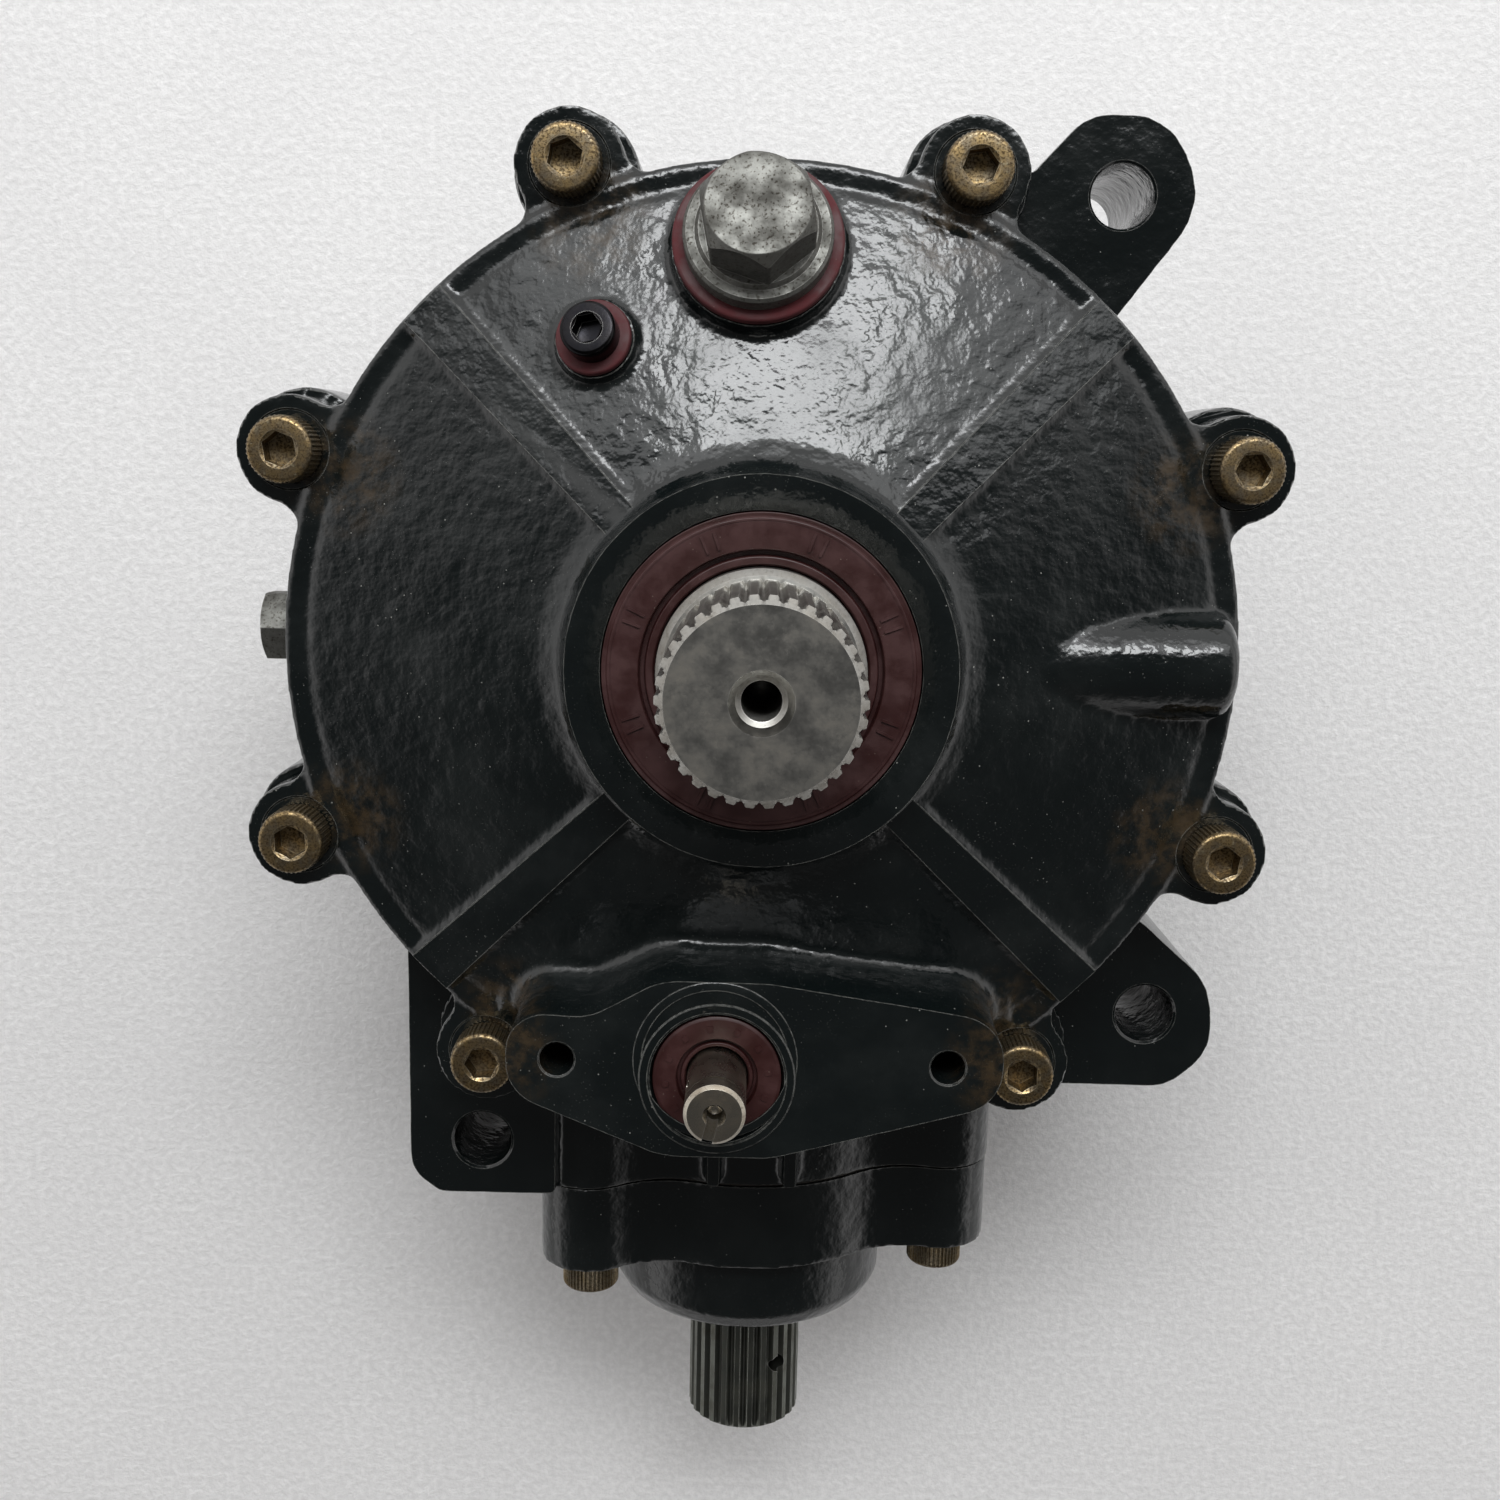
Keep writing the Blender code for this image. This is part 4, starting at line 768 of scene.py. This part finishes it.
def build_housing():
    body = lathe("housing_body", rounded([
        (0.0, BASE_Z - STOCK), (57.0, BASE_Z - STOCK), (66.0, 3.0, 6.0), (80.0, 22.0, 12.0),
        (80.0, 116.0), (0.0, 116.0)], 8), 192)
    shapes = [body]
    shapes.append(along_input(prism("neck", flange_outline(39.6, SCREWS, 11.8, 20.0), 70.0,
                                    RETAINER_START + 0.6)))
    shapes.append(prism("housing_flange", flange_outline(92.0, BOLTS, 12.4, 6.0), 93.0, 115.2 + 0.6))
    for outline in ear_outlines():
        shapes.append(prism("ear", outline, EAR_FOOT - 0.3, EAR_TOP + STOCK))
    tower = moved(cylinder("selector_tower", 13.0, 78.0, 115.0, 64), SELECTOR.x, SELECTOR.y)
    shapes.append(tower)
    boss = placed(cylinder("level_boss", 11.5, 70.0, 97.4, 64), Matrix.Rotation(math.radians(-90.0), 4, "Y"))
    shapes.append(moved(boss, 0.0, 0.0, LEVEL_SEAT.z))
    for x in (-7.9, 9.3):
        rib = rounded([(x - 1.9, -88.0), (x + 1.9, -88.0), (x + 1.9, -123.5, 0.8), (x - 1.9, -123.5, 0.8)], 4)
        shapes.append(prism("neck_rib", rib, 92.0, 105.0))
    for angle in range(30, 360, 60):
        rib = turned([(40.0, -2.6), (79.5, -2.2), (79.5, 2.2), (40.0, 2.6)], angle)
        shapes.append(prism("side_rib", [(x * 1.075, y * 1.075) for x, y in rib], 34.0, 96.0))
    housing = cast("housing_casting", shapes, 1.15, 4, 0.07, 4.5)

    cutters = [lathe("cavity", [
        (0.0, 130.0), (71.8, 130.0), (71.8, 98.0), (66.0, 98.0), (66.0, 14.5), (38.5, 14.5), (38.5, 29.5),
        (31.4, 29.5), (31.4, 12.6), (0.0, 12.6)], 128)]
    cutters.append(prism("flange_face", circle(0.0, 0.0, 140.0, 16), 115.2, 140.0))
    cutters.append(prism("base_face", circle(0.0, 0.0, 120.0, 16), BASE_Z - 10.0, BASE_Z))
    cutters.append(along_input(prism("neck_face", circle(0.0, 0.0, 90.0, 16), RETAINER_START - 0.6, 150.0)))
    cutters.append(along_input(lathe("input_bore", [
        (0.0, 130.0), (35.3, 130.0), (35.3, 120.5), (31.7, 120.5), (31.7, 105.0), (26.8, 105.0), (26.8, 50.0),
        (0.0, 50.0)], 96)))
    for outline in ear_outlines():
        centre = Vector((sum(p[0] for p in outline), sum(p[1] for p in outline))) / len(outline)
        lift = [tuple(centre + (Vector(p) - centre) * 1.25) for p in outline]
        keep_out = merge(prism("ear_face", lift, EAR_TOP, EAR_TOP + 4.0),
                         [cylinder("keep", 97.5, 100.0, 120.0, 96)], "DIFFERENCE")
        cutters.append(keep_out)
    for x, y in EAR_HOLES:
        hole = lathe("ear_hole", [
            (0.0, EAR_FOOT - 5.0), (7.0, EAR_FOOT - 5.0), (7.0, EAR_FOOT + 0.3), (6.4, EAR_FOOT + 0.9),
            (6.4, EAR_TOP - 0.5), (7.1, EAR_TOP + 0.2), (7.1, 112.0), (0.0, 112.0)], 64)
        cutters.append(moved(hole, x, y))
    for x, y in BOLTS:
        cutters.append(moved(cylinder("bolt_thread", 4.5, 96.5, 130.0, 32), x, y))
    for x, z in SCREWS:
        cutters.append(along_input(moved(cylinder("neck_thread", 4.5, 104.0, 140.0, 32), x, z)))
    cutters.append(moved(cylinder("selector_hole", 6.2, 70.0, 130.0, 48), SELECTOR.x, SELECTOR.y))
    cutters.append(moved(cylinder("selector_pocket", 10.8, 70.0, 91.2, 48), SELECTOR.x, SELECTOR.y))
    side = Matrix.Rotation(math.radians(-90.0), 4, "Y")
    cutters.append(moved(placed(cylinder("level_hole", 5.4, 60.0, 110.0, 48), side), z=LEVEL_SEAT.z))
    cutters.append(moved(placed(cylinder("level_face", 12.5, 97.0, 110.0, 64), side), z=LEVEL_SEAT.z))
    carve(housing, cutters)
    holes = [Vector(place) for place in EAR_HOLES]
    paint_faces(housing, (
        (1, lambda c, n: n.z > 0.99 and abs(c.z - EAR_TOP) < 0.02),
        # Ear-hole walls take slot 2, the painted shade inside the holes.
        (2, lambda c, n: c.z < EAR_TOP - 0.6 and min((c.xy - hole).length for hole in holes) < 6.8),
    ))
    piece(housing, "casing", (PAINT_PLAIN, MACHINED_BLACK, BORE_PAINTED_SHADE), ("housing",))


# --------------------------------------------------------------- retainer
def build_retainer():
    barrel = lathe("retainer_barrel", rounded([
        (0.0, 118.0), (34.8, 118.0), (34.8, RETAINER_FACE - 3.0), (34.4, RETAINER_FACE),
        (33.4, RETAINER_FACE + 2.0),
        (33.3, 161.2, 0.8), (30.6, RETAINER_END, 1.0), (0.0, RETAINER_END)], 6), 160)
    flange = prism("retainer_flange", flange_outline(40.0, SCREWS, 11.4, 20.0), RETAINER_START - 0.6,
                   RETAINER_FACE + 0.2)
    retainer = cast("input_retainer_casting", [barrel, flange], 0.8, 4, 0.04, 4.0)
    cutters = [lathe("retainer_bore", [
        (0.0, 100.0), (17.6, 100.0), (17.6, 152.5), (23.6, 152.5), (23.6, RETAINER_END - 1.4),
        (25.4, RETAINER_END + 0.4),
        (25.4, 180.0), (0.0, 180.0)], 128)]
    cutters.append(lathe("retainer_back", [(34.8, 110.0), (70.0, 110.0), (70.0, RETAINER_START),
                                           (34.8, RETAINER_START)],
                         96, closed=True))
    cutters.append(cylinder("spigot_face", 60.0, 100.0, 120.8, 64))
    for x, z in SCREWS:
        cutters.append(moved(cylinder("screw_hole", 4.5, 110.0, 150.0, 32), x, z))
        cutters.append(moved(cylinder("screw_seat", 7.8, RETAINER_FACE, 150.0, 48), x, z))
    carve(retainer, cutters)
    along_input(retainer)
    piece(retainer, "casing", (PAINT_PLAIN,), ("input_retainer",))


def build_gaskets():
    cover_sheet = prism("cover_gasket_sheet", flange_outline(92.0, BOLTS, 9.6, 5.0), 115.3, COVER_Z - 0.1,
                        [circle(0.0, 0.0, 73.0, 96), circle(SELECTOR.x, SELECTOR.y, 6.5, 32)]
                        + [circle(x, y, 4.6, 24) for x, y in BOLTS])
    piece(cover_sheet, "casing", GASKET, ("cover_gasket",))
    neck_sheet = prism("neck_gasket_sheet", flange_outline(39.0, SCREWS, 10.6, 20.0), 125.1,
                       RETAINER_START - 0.1,
                       [circle(0.0, 0.0, 35.8, 96)] + [circle(x, z, 4.6, 24) for x, z in SCREWS])
    piece(along_input(neck_sheet), "casing", GASKET, ("retainer_gasket",))


# -------------------------------------------------------------- fasteners
def hexagon(across_flats, phase=0.0, soften=0.6):
    corners = circle(0.0, 0.0, across_flats / math.sqrt(3.0), 6, phase)
    return rounded([(x, y, soften) for x, y in corners], 3)


def knurl_outline(radius, depth, teeth):
    points = []
    for k in range(teeth * 2):
        a = math.pi * k / teeth
        r = radius if k % 2 == 0 else radius - depth
        points.append((r * math.cos(a), r * math.sin(a)))
    return points


def socket_screw(name, reach, phase):
    """M8 socket head cap screw with a knurled head; its seat is at local z = 0."""
    teeth = 44
    side = knurl_outline(6.5, 0.28, teeth)
    shades = [(0.90, 0.05), (0.985, 0.45), (1.0, 0.9), (1.0, 6.9)]
    sections = [[(x * s, y * s, z) for x, y in side] for s, z in shades]
    for k in range(5):
        a = math.radians(18.0 * (k + 1))
        inset = 1.05 * (1.0 - math.cos(a)) / 6.5
        rise = 6.9 + 1.1 * math.sin(a)
        blend = min(1.0, 0.35 * (k + 1))
        ring = []
        for x, y in side:
            r = math.hypot(x, y)
            even = r + (6.45 - r) * blend
            ring.append((x / r * even * (1.0 - inset), y / r * even * (1.0 - inset), rise))
        sections.append(ring)
    head = loft(name, sections)
    shank = cylinder("shank", 3.85, -reach, 0.5, 40)
    merge(head, [shank])
    cutters = [prism("socket", hexagon(6.0, phase, 0.15), 3.4, 9.0)]
    cutters.append(lathe("socket_mouth", [(0.0, 2.6), (2.9, 3.45), (2.9, 7.45), (4.0, 8.2), (4.0, 9.0),
                                          (0.0, 9.0)], 48))
    carve(head, cutters)
    return head


def build_screws():
    draw = random.Random(7)
    for name, (x, y) in zip(BOLT_NAMES, BOLTS):
        screw = socket_screw(name + "_screw", 30.0, draw.uniform(0.0, 60.0))
        # Faces inside the hex socket take slot 1, the darker socket steel.
        paint_faces(screw, ((1, lambda c, n: c.xy.length < 3.3 and 2.0 < c.z < 7.4),))
        moved(screw, x, y, SPOT_Z)
        piece(screw, "casing", (ZINC, SOCKET_DARK_STEEL), (name,), 30.0)
    for name, (x, z) in zip(SCREW_NAMES, SCREWS):
        screw = socket_screw(name + "_screw", 38.0, draw.uniform(0.0, 60.0))
        paint_faces(screw, ((1, lambda c, n: c.xy.length < 3.3 and 2.0 < c.z < 7.4),))
        along_input(moved(screw, x, z, RETAINER_FACE))
        piece(screw, "casing", (DARK_ZINC, SOCKET_DARK_STEEL), (name,), 30.0)


def build_plugs():
    washer = lathe("filler_washer_ring", rounded([
        (11.4, 0.1), (15.9, 0.1, 0.5), (15.9, 2.0, 0.6), (11.4, 2.0)], 5), 128, closed=True)
    piece(tilted(washer, FILLER_SEAT), "casing", WASHER_RED, ("filler_washer",))
    plug = lathe("filler_plug_body", rounded([
        (0.0, -10.0), (10.0, -10.0), (10.8, -9.0), (10.8, 2.1), (13.8, 2.1), (13.8, 5.1, 0.4),
        (13.2, 5.6), (11.6, 5.7),
        (10.9, 6.6), (0.0, 6.6)], 4), 128)
    head = prism("filler_hex", hexagon(19.4, 9.0, 0.9), 5.0, 16.0)
    trim = lathe("filler_trim", rounded([(0.0, 4.0), (14.5, 4.0), (11.6, 12.6), (9.5, 16.0, 0.4),
                                         (0.0, 16.0)], 4), 128)
    merge(head, [trim], "INTERSECT")
    merge(plug, [head])
    piece(tilted(plug, FILLER_SEAT), "casing", PLUG_STEEL, ("filler_plug",), 30.0)

    ring = lathe("vent_washer_ring", rounded([
        (3.6, 0.1), (7.15, 0.1, 0.4), (7.15, 1.6, 0.5), (3.6, 1.6)], 4), 96, closed=True)
    piece(tilted(ring, VENT_SEAT), "casing", WASHER_RED, ("vent_washer",))
    vent = lathe("vent_plug_body", rounded([
        (0.0, -8.0), (3.2, -8.0), (3.2, 1.7), (5.15, 1.7), (5.15, 6.3, 0.7), (0.0, 6.3)], 5), 96)
    socket = prism("vent_socket", hexagon(5.0, 12.0, 0.12), 2.6, 8.0)
    mouth = lathe("vent_mouth", [(0.0, 2.0), (2.4, 2.65), (2.4, 5.8), (3.25, 6.5), (3.25, 8.0),
                                 (0.0, 8.0)], 48)
    carve(vent, [socket, mouth])
    piece(tilted(vent, VENT_SEAT), "casing", BLACK_SCREW, ("vent_plug",), 30.0)

    side = Matrix.Translation(LEVEL_SEAT * MM) @ Matrix.Rotation(math.radians(-90.0), 4, "Y")
    seal = lathe("level_washer_ring", rounded([(5.6, 0.1), (9.1, 0.1, 0.4), (9.1, 1.7, 0.4),
                                               (5.6, 1.7)], 4), 96, closed=True)
    piece(placed(seal, side), "casing", WASHER_RED, ("level_washer",))
    level = lathe("level_plug_body", rounded([
        (0.0, -14.0), (4.9, -14.0), (4.9, 1.8), (8.3, 1.8), (8.3, 3.2, 0.3), (7.4, 3.6), (0.0, 3.6)], 4), 96)
    grip = prism("level_hex", hexagon(14.2, 0.0, 0.5), 3.0, 11.6)
    trim = lathe("level_trim", [(0.0, 2.0), (10.0, 2.0), (10.0, 10.3), (6.9, 11.6), (0.0, 11.6)], 96)
    merge(grip, [trim], "INTERSECT")
    merge(level, [grip])
    piece(placed(level, side), "casing", PLUG_STEEL, ("level_plug",), 30.0)


# ------------------------------------------------------------------ seals
def build_seals():
    top = HUB_Z - 0.9
    ring = lathe("output_seal_body", rounded([
        (JOURNAL + 0.25, top - 1.6), (JOURNAL + 0.6, top - 1.0, 0.2), (JOURNAL + 1.9, top - 0.9, 0.3),
        (JOURNAL + 2.2, top - 2.2),
        (JOURNAL + 2.9, top - 2.2), (JOURNAL + 3.2, top - 0.25, 0.3), (28.1, top, 0.2),
        (28.4, top - 0.35), (28.7, top - 0.35),
        (29.2, top - 0.1, 0.2), (29.2, 147.6), (JOURNAL + 0.25, 147.6)], 4), 192, closed=True)
    marks = []
    for k in range(8):
        for lean in (-2.6, 2.6):
            bar = prism("seal_mark", [(23.6, -0.22), (27.0, -0.22), (27.0, 0.22), (23.6, 0.22)],
                        top - 0.6, top + 0.22)
            marks.append(placed(bar, Matrix.Rotation(math.radians(22.5 + 45.0 * k + lean), 4, "Z")))
    groove = lathe("seal_circle", [(27.45, top - 0.12), (27.7, top - 0.12), (27.7, top + 1.0),
                                   (27.45, top + 1.0)], 192, closed=True)
    merge(ring, [groove], "DIFFERENCE")
    merge(ring, marks)
    piece(ring, "casing", SEAL_RED, ("output_seal",), 30.0)

    inner = 5.95
    top = PAD_Z - 0.3
    small = lathe("selector_seal_body", rounded([
        (inner, top - 1.4), (inner + 0.3, top - 0.8, 0.15), (inner + 0.9, top - 0.8, 0.15),
        (inner + 1.1, top - 1.7),
        (inner + 1.6, top - 1.7), (inner + 1.9, top - 0.2, 0.2), (11.7, top, 0.15), (12.3, top - 0.2, 0.15),
        (12.3, 148.3), (inner, 148.3)], 4), 128, closed=True)
    marks = []
    for k in range(12):
        pip = prism("pip", rounded([(9.3, -0.55, 0.2), (10.5, -0.55, 0.2), (10.5, 0.55, 0.2),
                                    (9.3, 0.55, 0.2)], 2), top - 0.8, top + 0.14)
        marks.append(placed(pip, Matrix.Rotation(math.radians(30.0 * k + 8.0), 4, "Z")))
    merge(small, marks)
    moved(small, SELECTOR.x, SELECTOR.y)
    piece(small, "casing", SEAL_RED, ("selector_seal",), 30.0)

    low, high = node_box("input_seal")
    lip = lathe("input_seal_body", rounded([
        (14.75, -low.y - 1.6), (15.2, -low.y - 0.9, 0.2), (16.6, -low.y - 0.9, 0.2), (17.0, -low.y - 1.9),
        (17.8, -low.y - 1.9), (18.2, -low.y, 0.3), (23.2, -low.y, 0.3), (23.2, -high.y),
        (14.75, -high.y)], 4), 128, closed=True)
    piece(along_input(lip), "casing", SEAL_RED, ("input_seal",), 30.0)


# ----------------------------------------------------------------- shafts
def spline_outline(teeth, tip, root):
    """External involute-style teeth: rounded roots, curved flanks, narrow tips."""
    points = []
    step = 2 * math.pi / teeth
    shape = [(0.0, 0.50), (0.06, 0.44), (0.30, 0.375), (0.60, 0.30), (0.88, 0.235), (1.0, 0.19)]
    for k in range(teeth):
        mid = k * step
        rise = [(root + (tip - root) * h, w * step) for h, w in shape]
        for radius, w in rise[1:]:
            points.append((radius * math.cos(mid - w), radius * math.sin(mid - w)))
        for radius, w in reversed(rise):
            points.append((radius * math.cos(mid + w), radius * math.sin(mid + w)))
    return points


def spline_bar(name, teeth, tip, root, start, runout, end, chamfer, face_radius):
    """Splined bar from start to end: the cutter's run-out at the foot, a chamfer at the free end."""
    outline = spline_outline(teeth, tip, root)
    sections = []
    for k in range(6):
        share = k / 5.0
        lift = (1.0 - math.sin(share * math.pi / 2)) * (tip - root)
        z = start + runout * share
        section = []
        for x, y in outline:
            r = math.hypot(x, y)
            s = min(tip, r + lift) / r
            section.append((x * s, y * s, z))
        sections.append(section)
    halfway = tip - (tip - face_radius) * 0.55
    for z, limit in ((end - chamfer, tip + 1.0), (end - chamfer * 0.45, halfway), (end, face_radius)):
        section = []
        for x, y in outline:
            r = math.hypot(x, y)
            s = min(r, limit) / r
            section.append((x * s, y * s, z))
        sections.append(section)
    return loft(name, sections)


def thread_profile(crest, depth, z0, z1, pitch):
    points = []
    z = z0
    while z < z1:
        points.append((crest, z))
        points.append((crest + depth, z + pitch / 2))
        z += pitch
    return points + [(crest, z1)]


def build_output_shaft():
    shaft = lathe("output_shaft_end", rounded([
        (0.0, 115.2), (57.5, 115.2), (57.5, 122.0), (23.5, 122.0), (23.5, 129.2), (JOURNAL, 129.2),
        (JOURNAL, 157.0, 0.3), (18.0, 158.2), (17.0, 158.4), (0.0, 158.4)], 3), 160)
    teeth = spline_bar("output_spline", 34, 17.4, 16.3, 157.5, 3.0, OUTPUT_END, 1.3, 15.9)
    merge(shaft, [teeth])
    posts = []
    for angle in (150.0, 270.0, 30.0):
        posts.append(moved(cylinder("post", 6.5, 97.7, 118.0, 48), 45.0 * math.cos(math.radians(angle)),
                           45.0 * math.sin(math.radians(angle))))
    merge(shaft, posts)
    hole = [(0.0, OUTPUT_END - 28.0), (3.4, OUTPUT_END - 26.0)]
    hole += thread_profile(3.4, 0.55, OUTPUT_END - 24.0, OUTPUT_END - 3.0, 1.25)
    hole += [(4.3, OUTPUT_END - 2.4), (5.45, OUTPUT_END), (6.4, OUTPUT_END + 1.0), (0.0, OUTPUT_END + 1.0)]
    cutters = [lathe("centre_hole", hole, 64), cylinder("pilot", 10.4, 110.0, 128.0, 64)]
    for angle in (90.0, 210.0, 330.0):
        cutters.append(moved(cylinder("pin_seat", 5.3, 110.0, 121.0, 48),
                             41.25 * math.cos(math.radians(angle)),
                             41.25 * math.sin(math.radians(angle))))
    carve(shaft, cutters)
    paint_faces(shaft, (
        (1, lambda c, n: c.z > OUTPUT_END - 0.01 and n.z > 0.99),
        (2, lambda c, n: c.z < 158.3),
    ))
    piece(shaft, "output", (SPLINE_STEEL, END_FACE, JOURNAL_STEEL), ("output_shaft",), 26.0)


def build_input_shaft():
    low = -node_box("input_shaft")[1].y
    shaft = lathe("input_shaft_end", [
        (0.0, low + 4.3), (24.0, low + 4.3), (24.0, 104.2), (15.0, 104.2), (15.0, 120.6), (14.4, 121.0),
        (14.4, 164.9),
        (13.6, 165.6), (0.0, 165.6)], 128)
    teeth = spline_bar("input_spline", 26, 13.9, 12.75, 164.6, 2.4, INPUT_END, 1.0, 12.4)
    merge(shaft, [teeth])
    dogs = []
    for k in range(4):
        outline = arc(0, 0, 23.2, 25.5, 64.5, 12) + arc(0, 0, 15.8, 64.5, 25.5, 12)
        dogs.append(placed(prism("dog", outline, low, low + 5.4),
                           Matrix.Rotation(math.radians(90.0 * k), 4, "Z")))
    merge(shaft, dogs)
    cross = cylinder("cross", 2.1, -20.0, 20.0, 48)
    placed(cross, Matrix.Rotation(math.radians(90.0), 4, "X") @ Matrix.Identity(4))
    placed(cross, Matrix.Rotation(math.radians(52.0 - 90.0), 4, "Z"))
    moved(cross, z=186.0)
    tip = lathe("end_centre", [(0.0, INPUT_END - 7.0), (2.0, INPUT_END - 5.0), (2.0, INPUT_END - 2.6),
                               (3.6, INPUT_END + 0.1),
                               (3.6, INPUT_END + 2.0), (0.0, INPUT_END + 2.0)], 48)
    bore = cylinder("pilot", 8.4, 80.0, 113.0, 64)
    carve(shaft, [bore, tip, cross])
    along_input(shaft)
    piece(shaft, "input", INPUT_STEEL, ("input_shaft",), 26.0)


def build_selector():
    end = SELECTOR_END
    shaft = lathe("selector_shaft_end", rounded([
        (0.0, 85.2), (9.5, 85.2), (9.5, 90.6), (5.65, 90.6), (5.65, end - 0.7), (5.0, end, 0.1),
        (0.0, end)], 4), 96)
    throw = Vector((6.7 * math.cos(math.radians(-25.0)), 6.7 * math.sin(math.radians(-25.0))))
    merge(shaft, [moved(cylinder("pin", 2.7, 80.2, 87.0, 32), throw.x, throw.y)])
    slot = prism("slot", [(-1.0, -8.0), (1.0, -8.0), (1.0, 0.0), (-1.0, 0.0)], end - 1.9, end + 1.0)
    placed(slot, Matrix.Rotation(math.radians(-14.0), 4, "Z"))
    drill = lathe("centre", [(0.0, end - 5.5), (1.5, end - 4.4), (1.5, end - 1.2), (2.2, end + 0.1),
                             (2.2, end + 1.0), (0.0, end + 1.0)], 48)
    cross = placed(cylinder("cross", 1.15, -8.0, 8.0, 32), Matrix.Rotation(math.radians(90.0), 4, "Y"))
    placed(cross, Matrix.Rotation(math.radians(-20.0), 4, "Z"))
    groove = lathe("groove", [(5.2, end - 4.6), (6.4, end - 4.6), (6.4, end - 4.0), (5.2, end - 4.0)],
                   96, closed=True)
    carve(shaft, [slot, drill, moved(cross, z=end - 9.5)])
    merge(shaft, [groove], "DIFFERENCE")
    moved(shaft, SELECTOR.x, SELECTOR.y)
    piece(shaft, "selector", SELECTOR_STEEL, ("selector_shaft",), 28.0)


# Darker brown pitted steel for the inside of the hex sockets.
SOCKET_DARK_STEEL = bare_steel("socket_dark_steel", (0.10, 0.075, 0.045), None, 0.5, (0.02, 0.016, 0.012), 0.8,
                          axis_stretch=(1, 1, 1), spots=0.8)
SPLINE_STEEL = bare_steel("spline_steel", (0.34, 0.335, 0.315), None, 0.38, (0.20, 0.17, 0.13), 0.5,
                          spots=0.2)
END_FACE = bare_steel("turned_end_face", (0.20, 0.195, 0.175), ("XY", (0.0, 0.0)), 0.46,
                      (0.19, 0.18, 0.155), 0.2)
JOURNAL_STEEL = bare_steel("journal_steel", (0.25, 0.235, 0.18), ("XY", (0.0, 0.0)), 0.38,
                           (0.14, 0.12, 0.075), 0.6)

build_cover()
build_housing()
build_retainer()
build_gaskets()
build_screws()
build_plugs()
build_seals()
build_output_shaft()
build_input_shaft()
build_selector()

# ------------------------------------------- gears and bearings keep their CAD shape
FINISHES = {"gear_steel": GEAR, "bearing_steel": BEARING, "machined_steel": TURNED}
for entry in frame["record"]["subparts"]:
    obj = NODES[entry["node"]]
    if not obj.hide_render:
        obj.data.materials.clear()
        obj.data.materials.append(FINISHES[entry["material_slot"]])

# ------------------------------------------------------------------ stage
ground = bmesh.new()
bmesh.ops.create_grid(ground, x_segments=1, y_segments=1, size=2.5)
floor = finish_mesh("floor", ground)
floor.location.z = (BASE_Z - 0.3) * MM
floor.data.materials.append(foam_sheet())

CAMERA_PLACE = (-1.35, 39.12, 453.51)
CAMERA_TURN = (-10.119, 0.302, 1.254)
CAMERA_LENS = 39.64
CAMERA_SENSOR = 36.0
camera_data = bpy.data.cameras.new("camera")
camera_data.lens = CAMERA_LENS
camera_data.sensor_width = CAMERA_SENSOR
camera_data.clip_start = 0.01
camera = bpy.data.objects.new("camera", camera_data)
camera.location = Vector(CAMERA_PLACE) * MM
camera.rotation_euler = [math.radians(turn) for turn in CAMERA_TURN]
bpy.context.scene.collection.objects.link(camera)
bpy.context.scene.camera = camera


def soft_light(name, place, target, size, power, tint=(1.0, 1.0, 1.0)):
    data = bpy.data.lights.new(name, "AREA")
    data.shape = "RECTANGLE"
    data.size, data.size_y = size
    data.energy = power
    data.color = tint
    lamp = bpy.data.objects.new(name, data)
    lamp.location = place
    lamp.rotation_euler = (Vector(target) - Vector(place)).to_track_quat("-Z", "Y").to_euler()
    bpy.context.scene.collection.objects.link(lamp)
    return lamp


soft_light("window", (0.06, 0.80, 1.10), (0.0, 0.05, 0.14), (0.75, 0.32), 9.0, (0.97, 0.99, 1.0))
soft_light("window_glow", (0.06, 0.95, 1.15), (0.0, 0.05, 0.14), (1.9, 0.8), 7.0, (0.97, 0.99, 1.0))

world = bpy.data.worlds.new("studio")
bpy.context.scene.world = world
world.use_nodes = True
sky = world.node_tree
back = sky.nodes["Background"]
where = sky.nodes.new("ShaderNodeTexCoord").outputs["Generated"]
dot = sky.nodes.new("ShaderNodeVectorMath")
dot.operation = "DOT_PRODUCT"
dot.inputs[1].default_value = Vector((0.05, -0.42, 0.90)).normalized()
sky.links.new(where, dot.inputs[0])
shade_ramp = sky.nodes.new("ShaderNodeMapRange")
shade_ramp.interpolation_type = "SMOOTHSTEP"
for index, value in ((1, 0.16), (2, 0.74), (3, 1.25), (4, 0.09)):
    shade_ramp.inputs[index].default_value = value
sky.links.new(dot.outputs["Value"], shade_ramp.inputs[0])
sky.links.new(shade_ramp.outputs[0], back.inputs["Strength"])
back.inputs["Color"].default_value = (1.0, 0.985, 0.98, 1.0)

bpy.context.scene.view_settings.view_transform = "Standard"
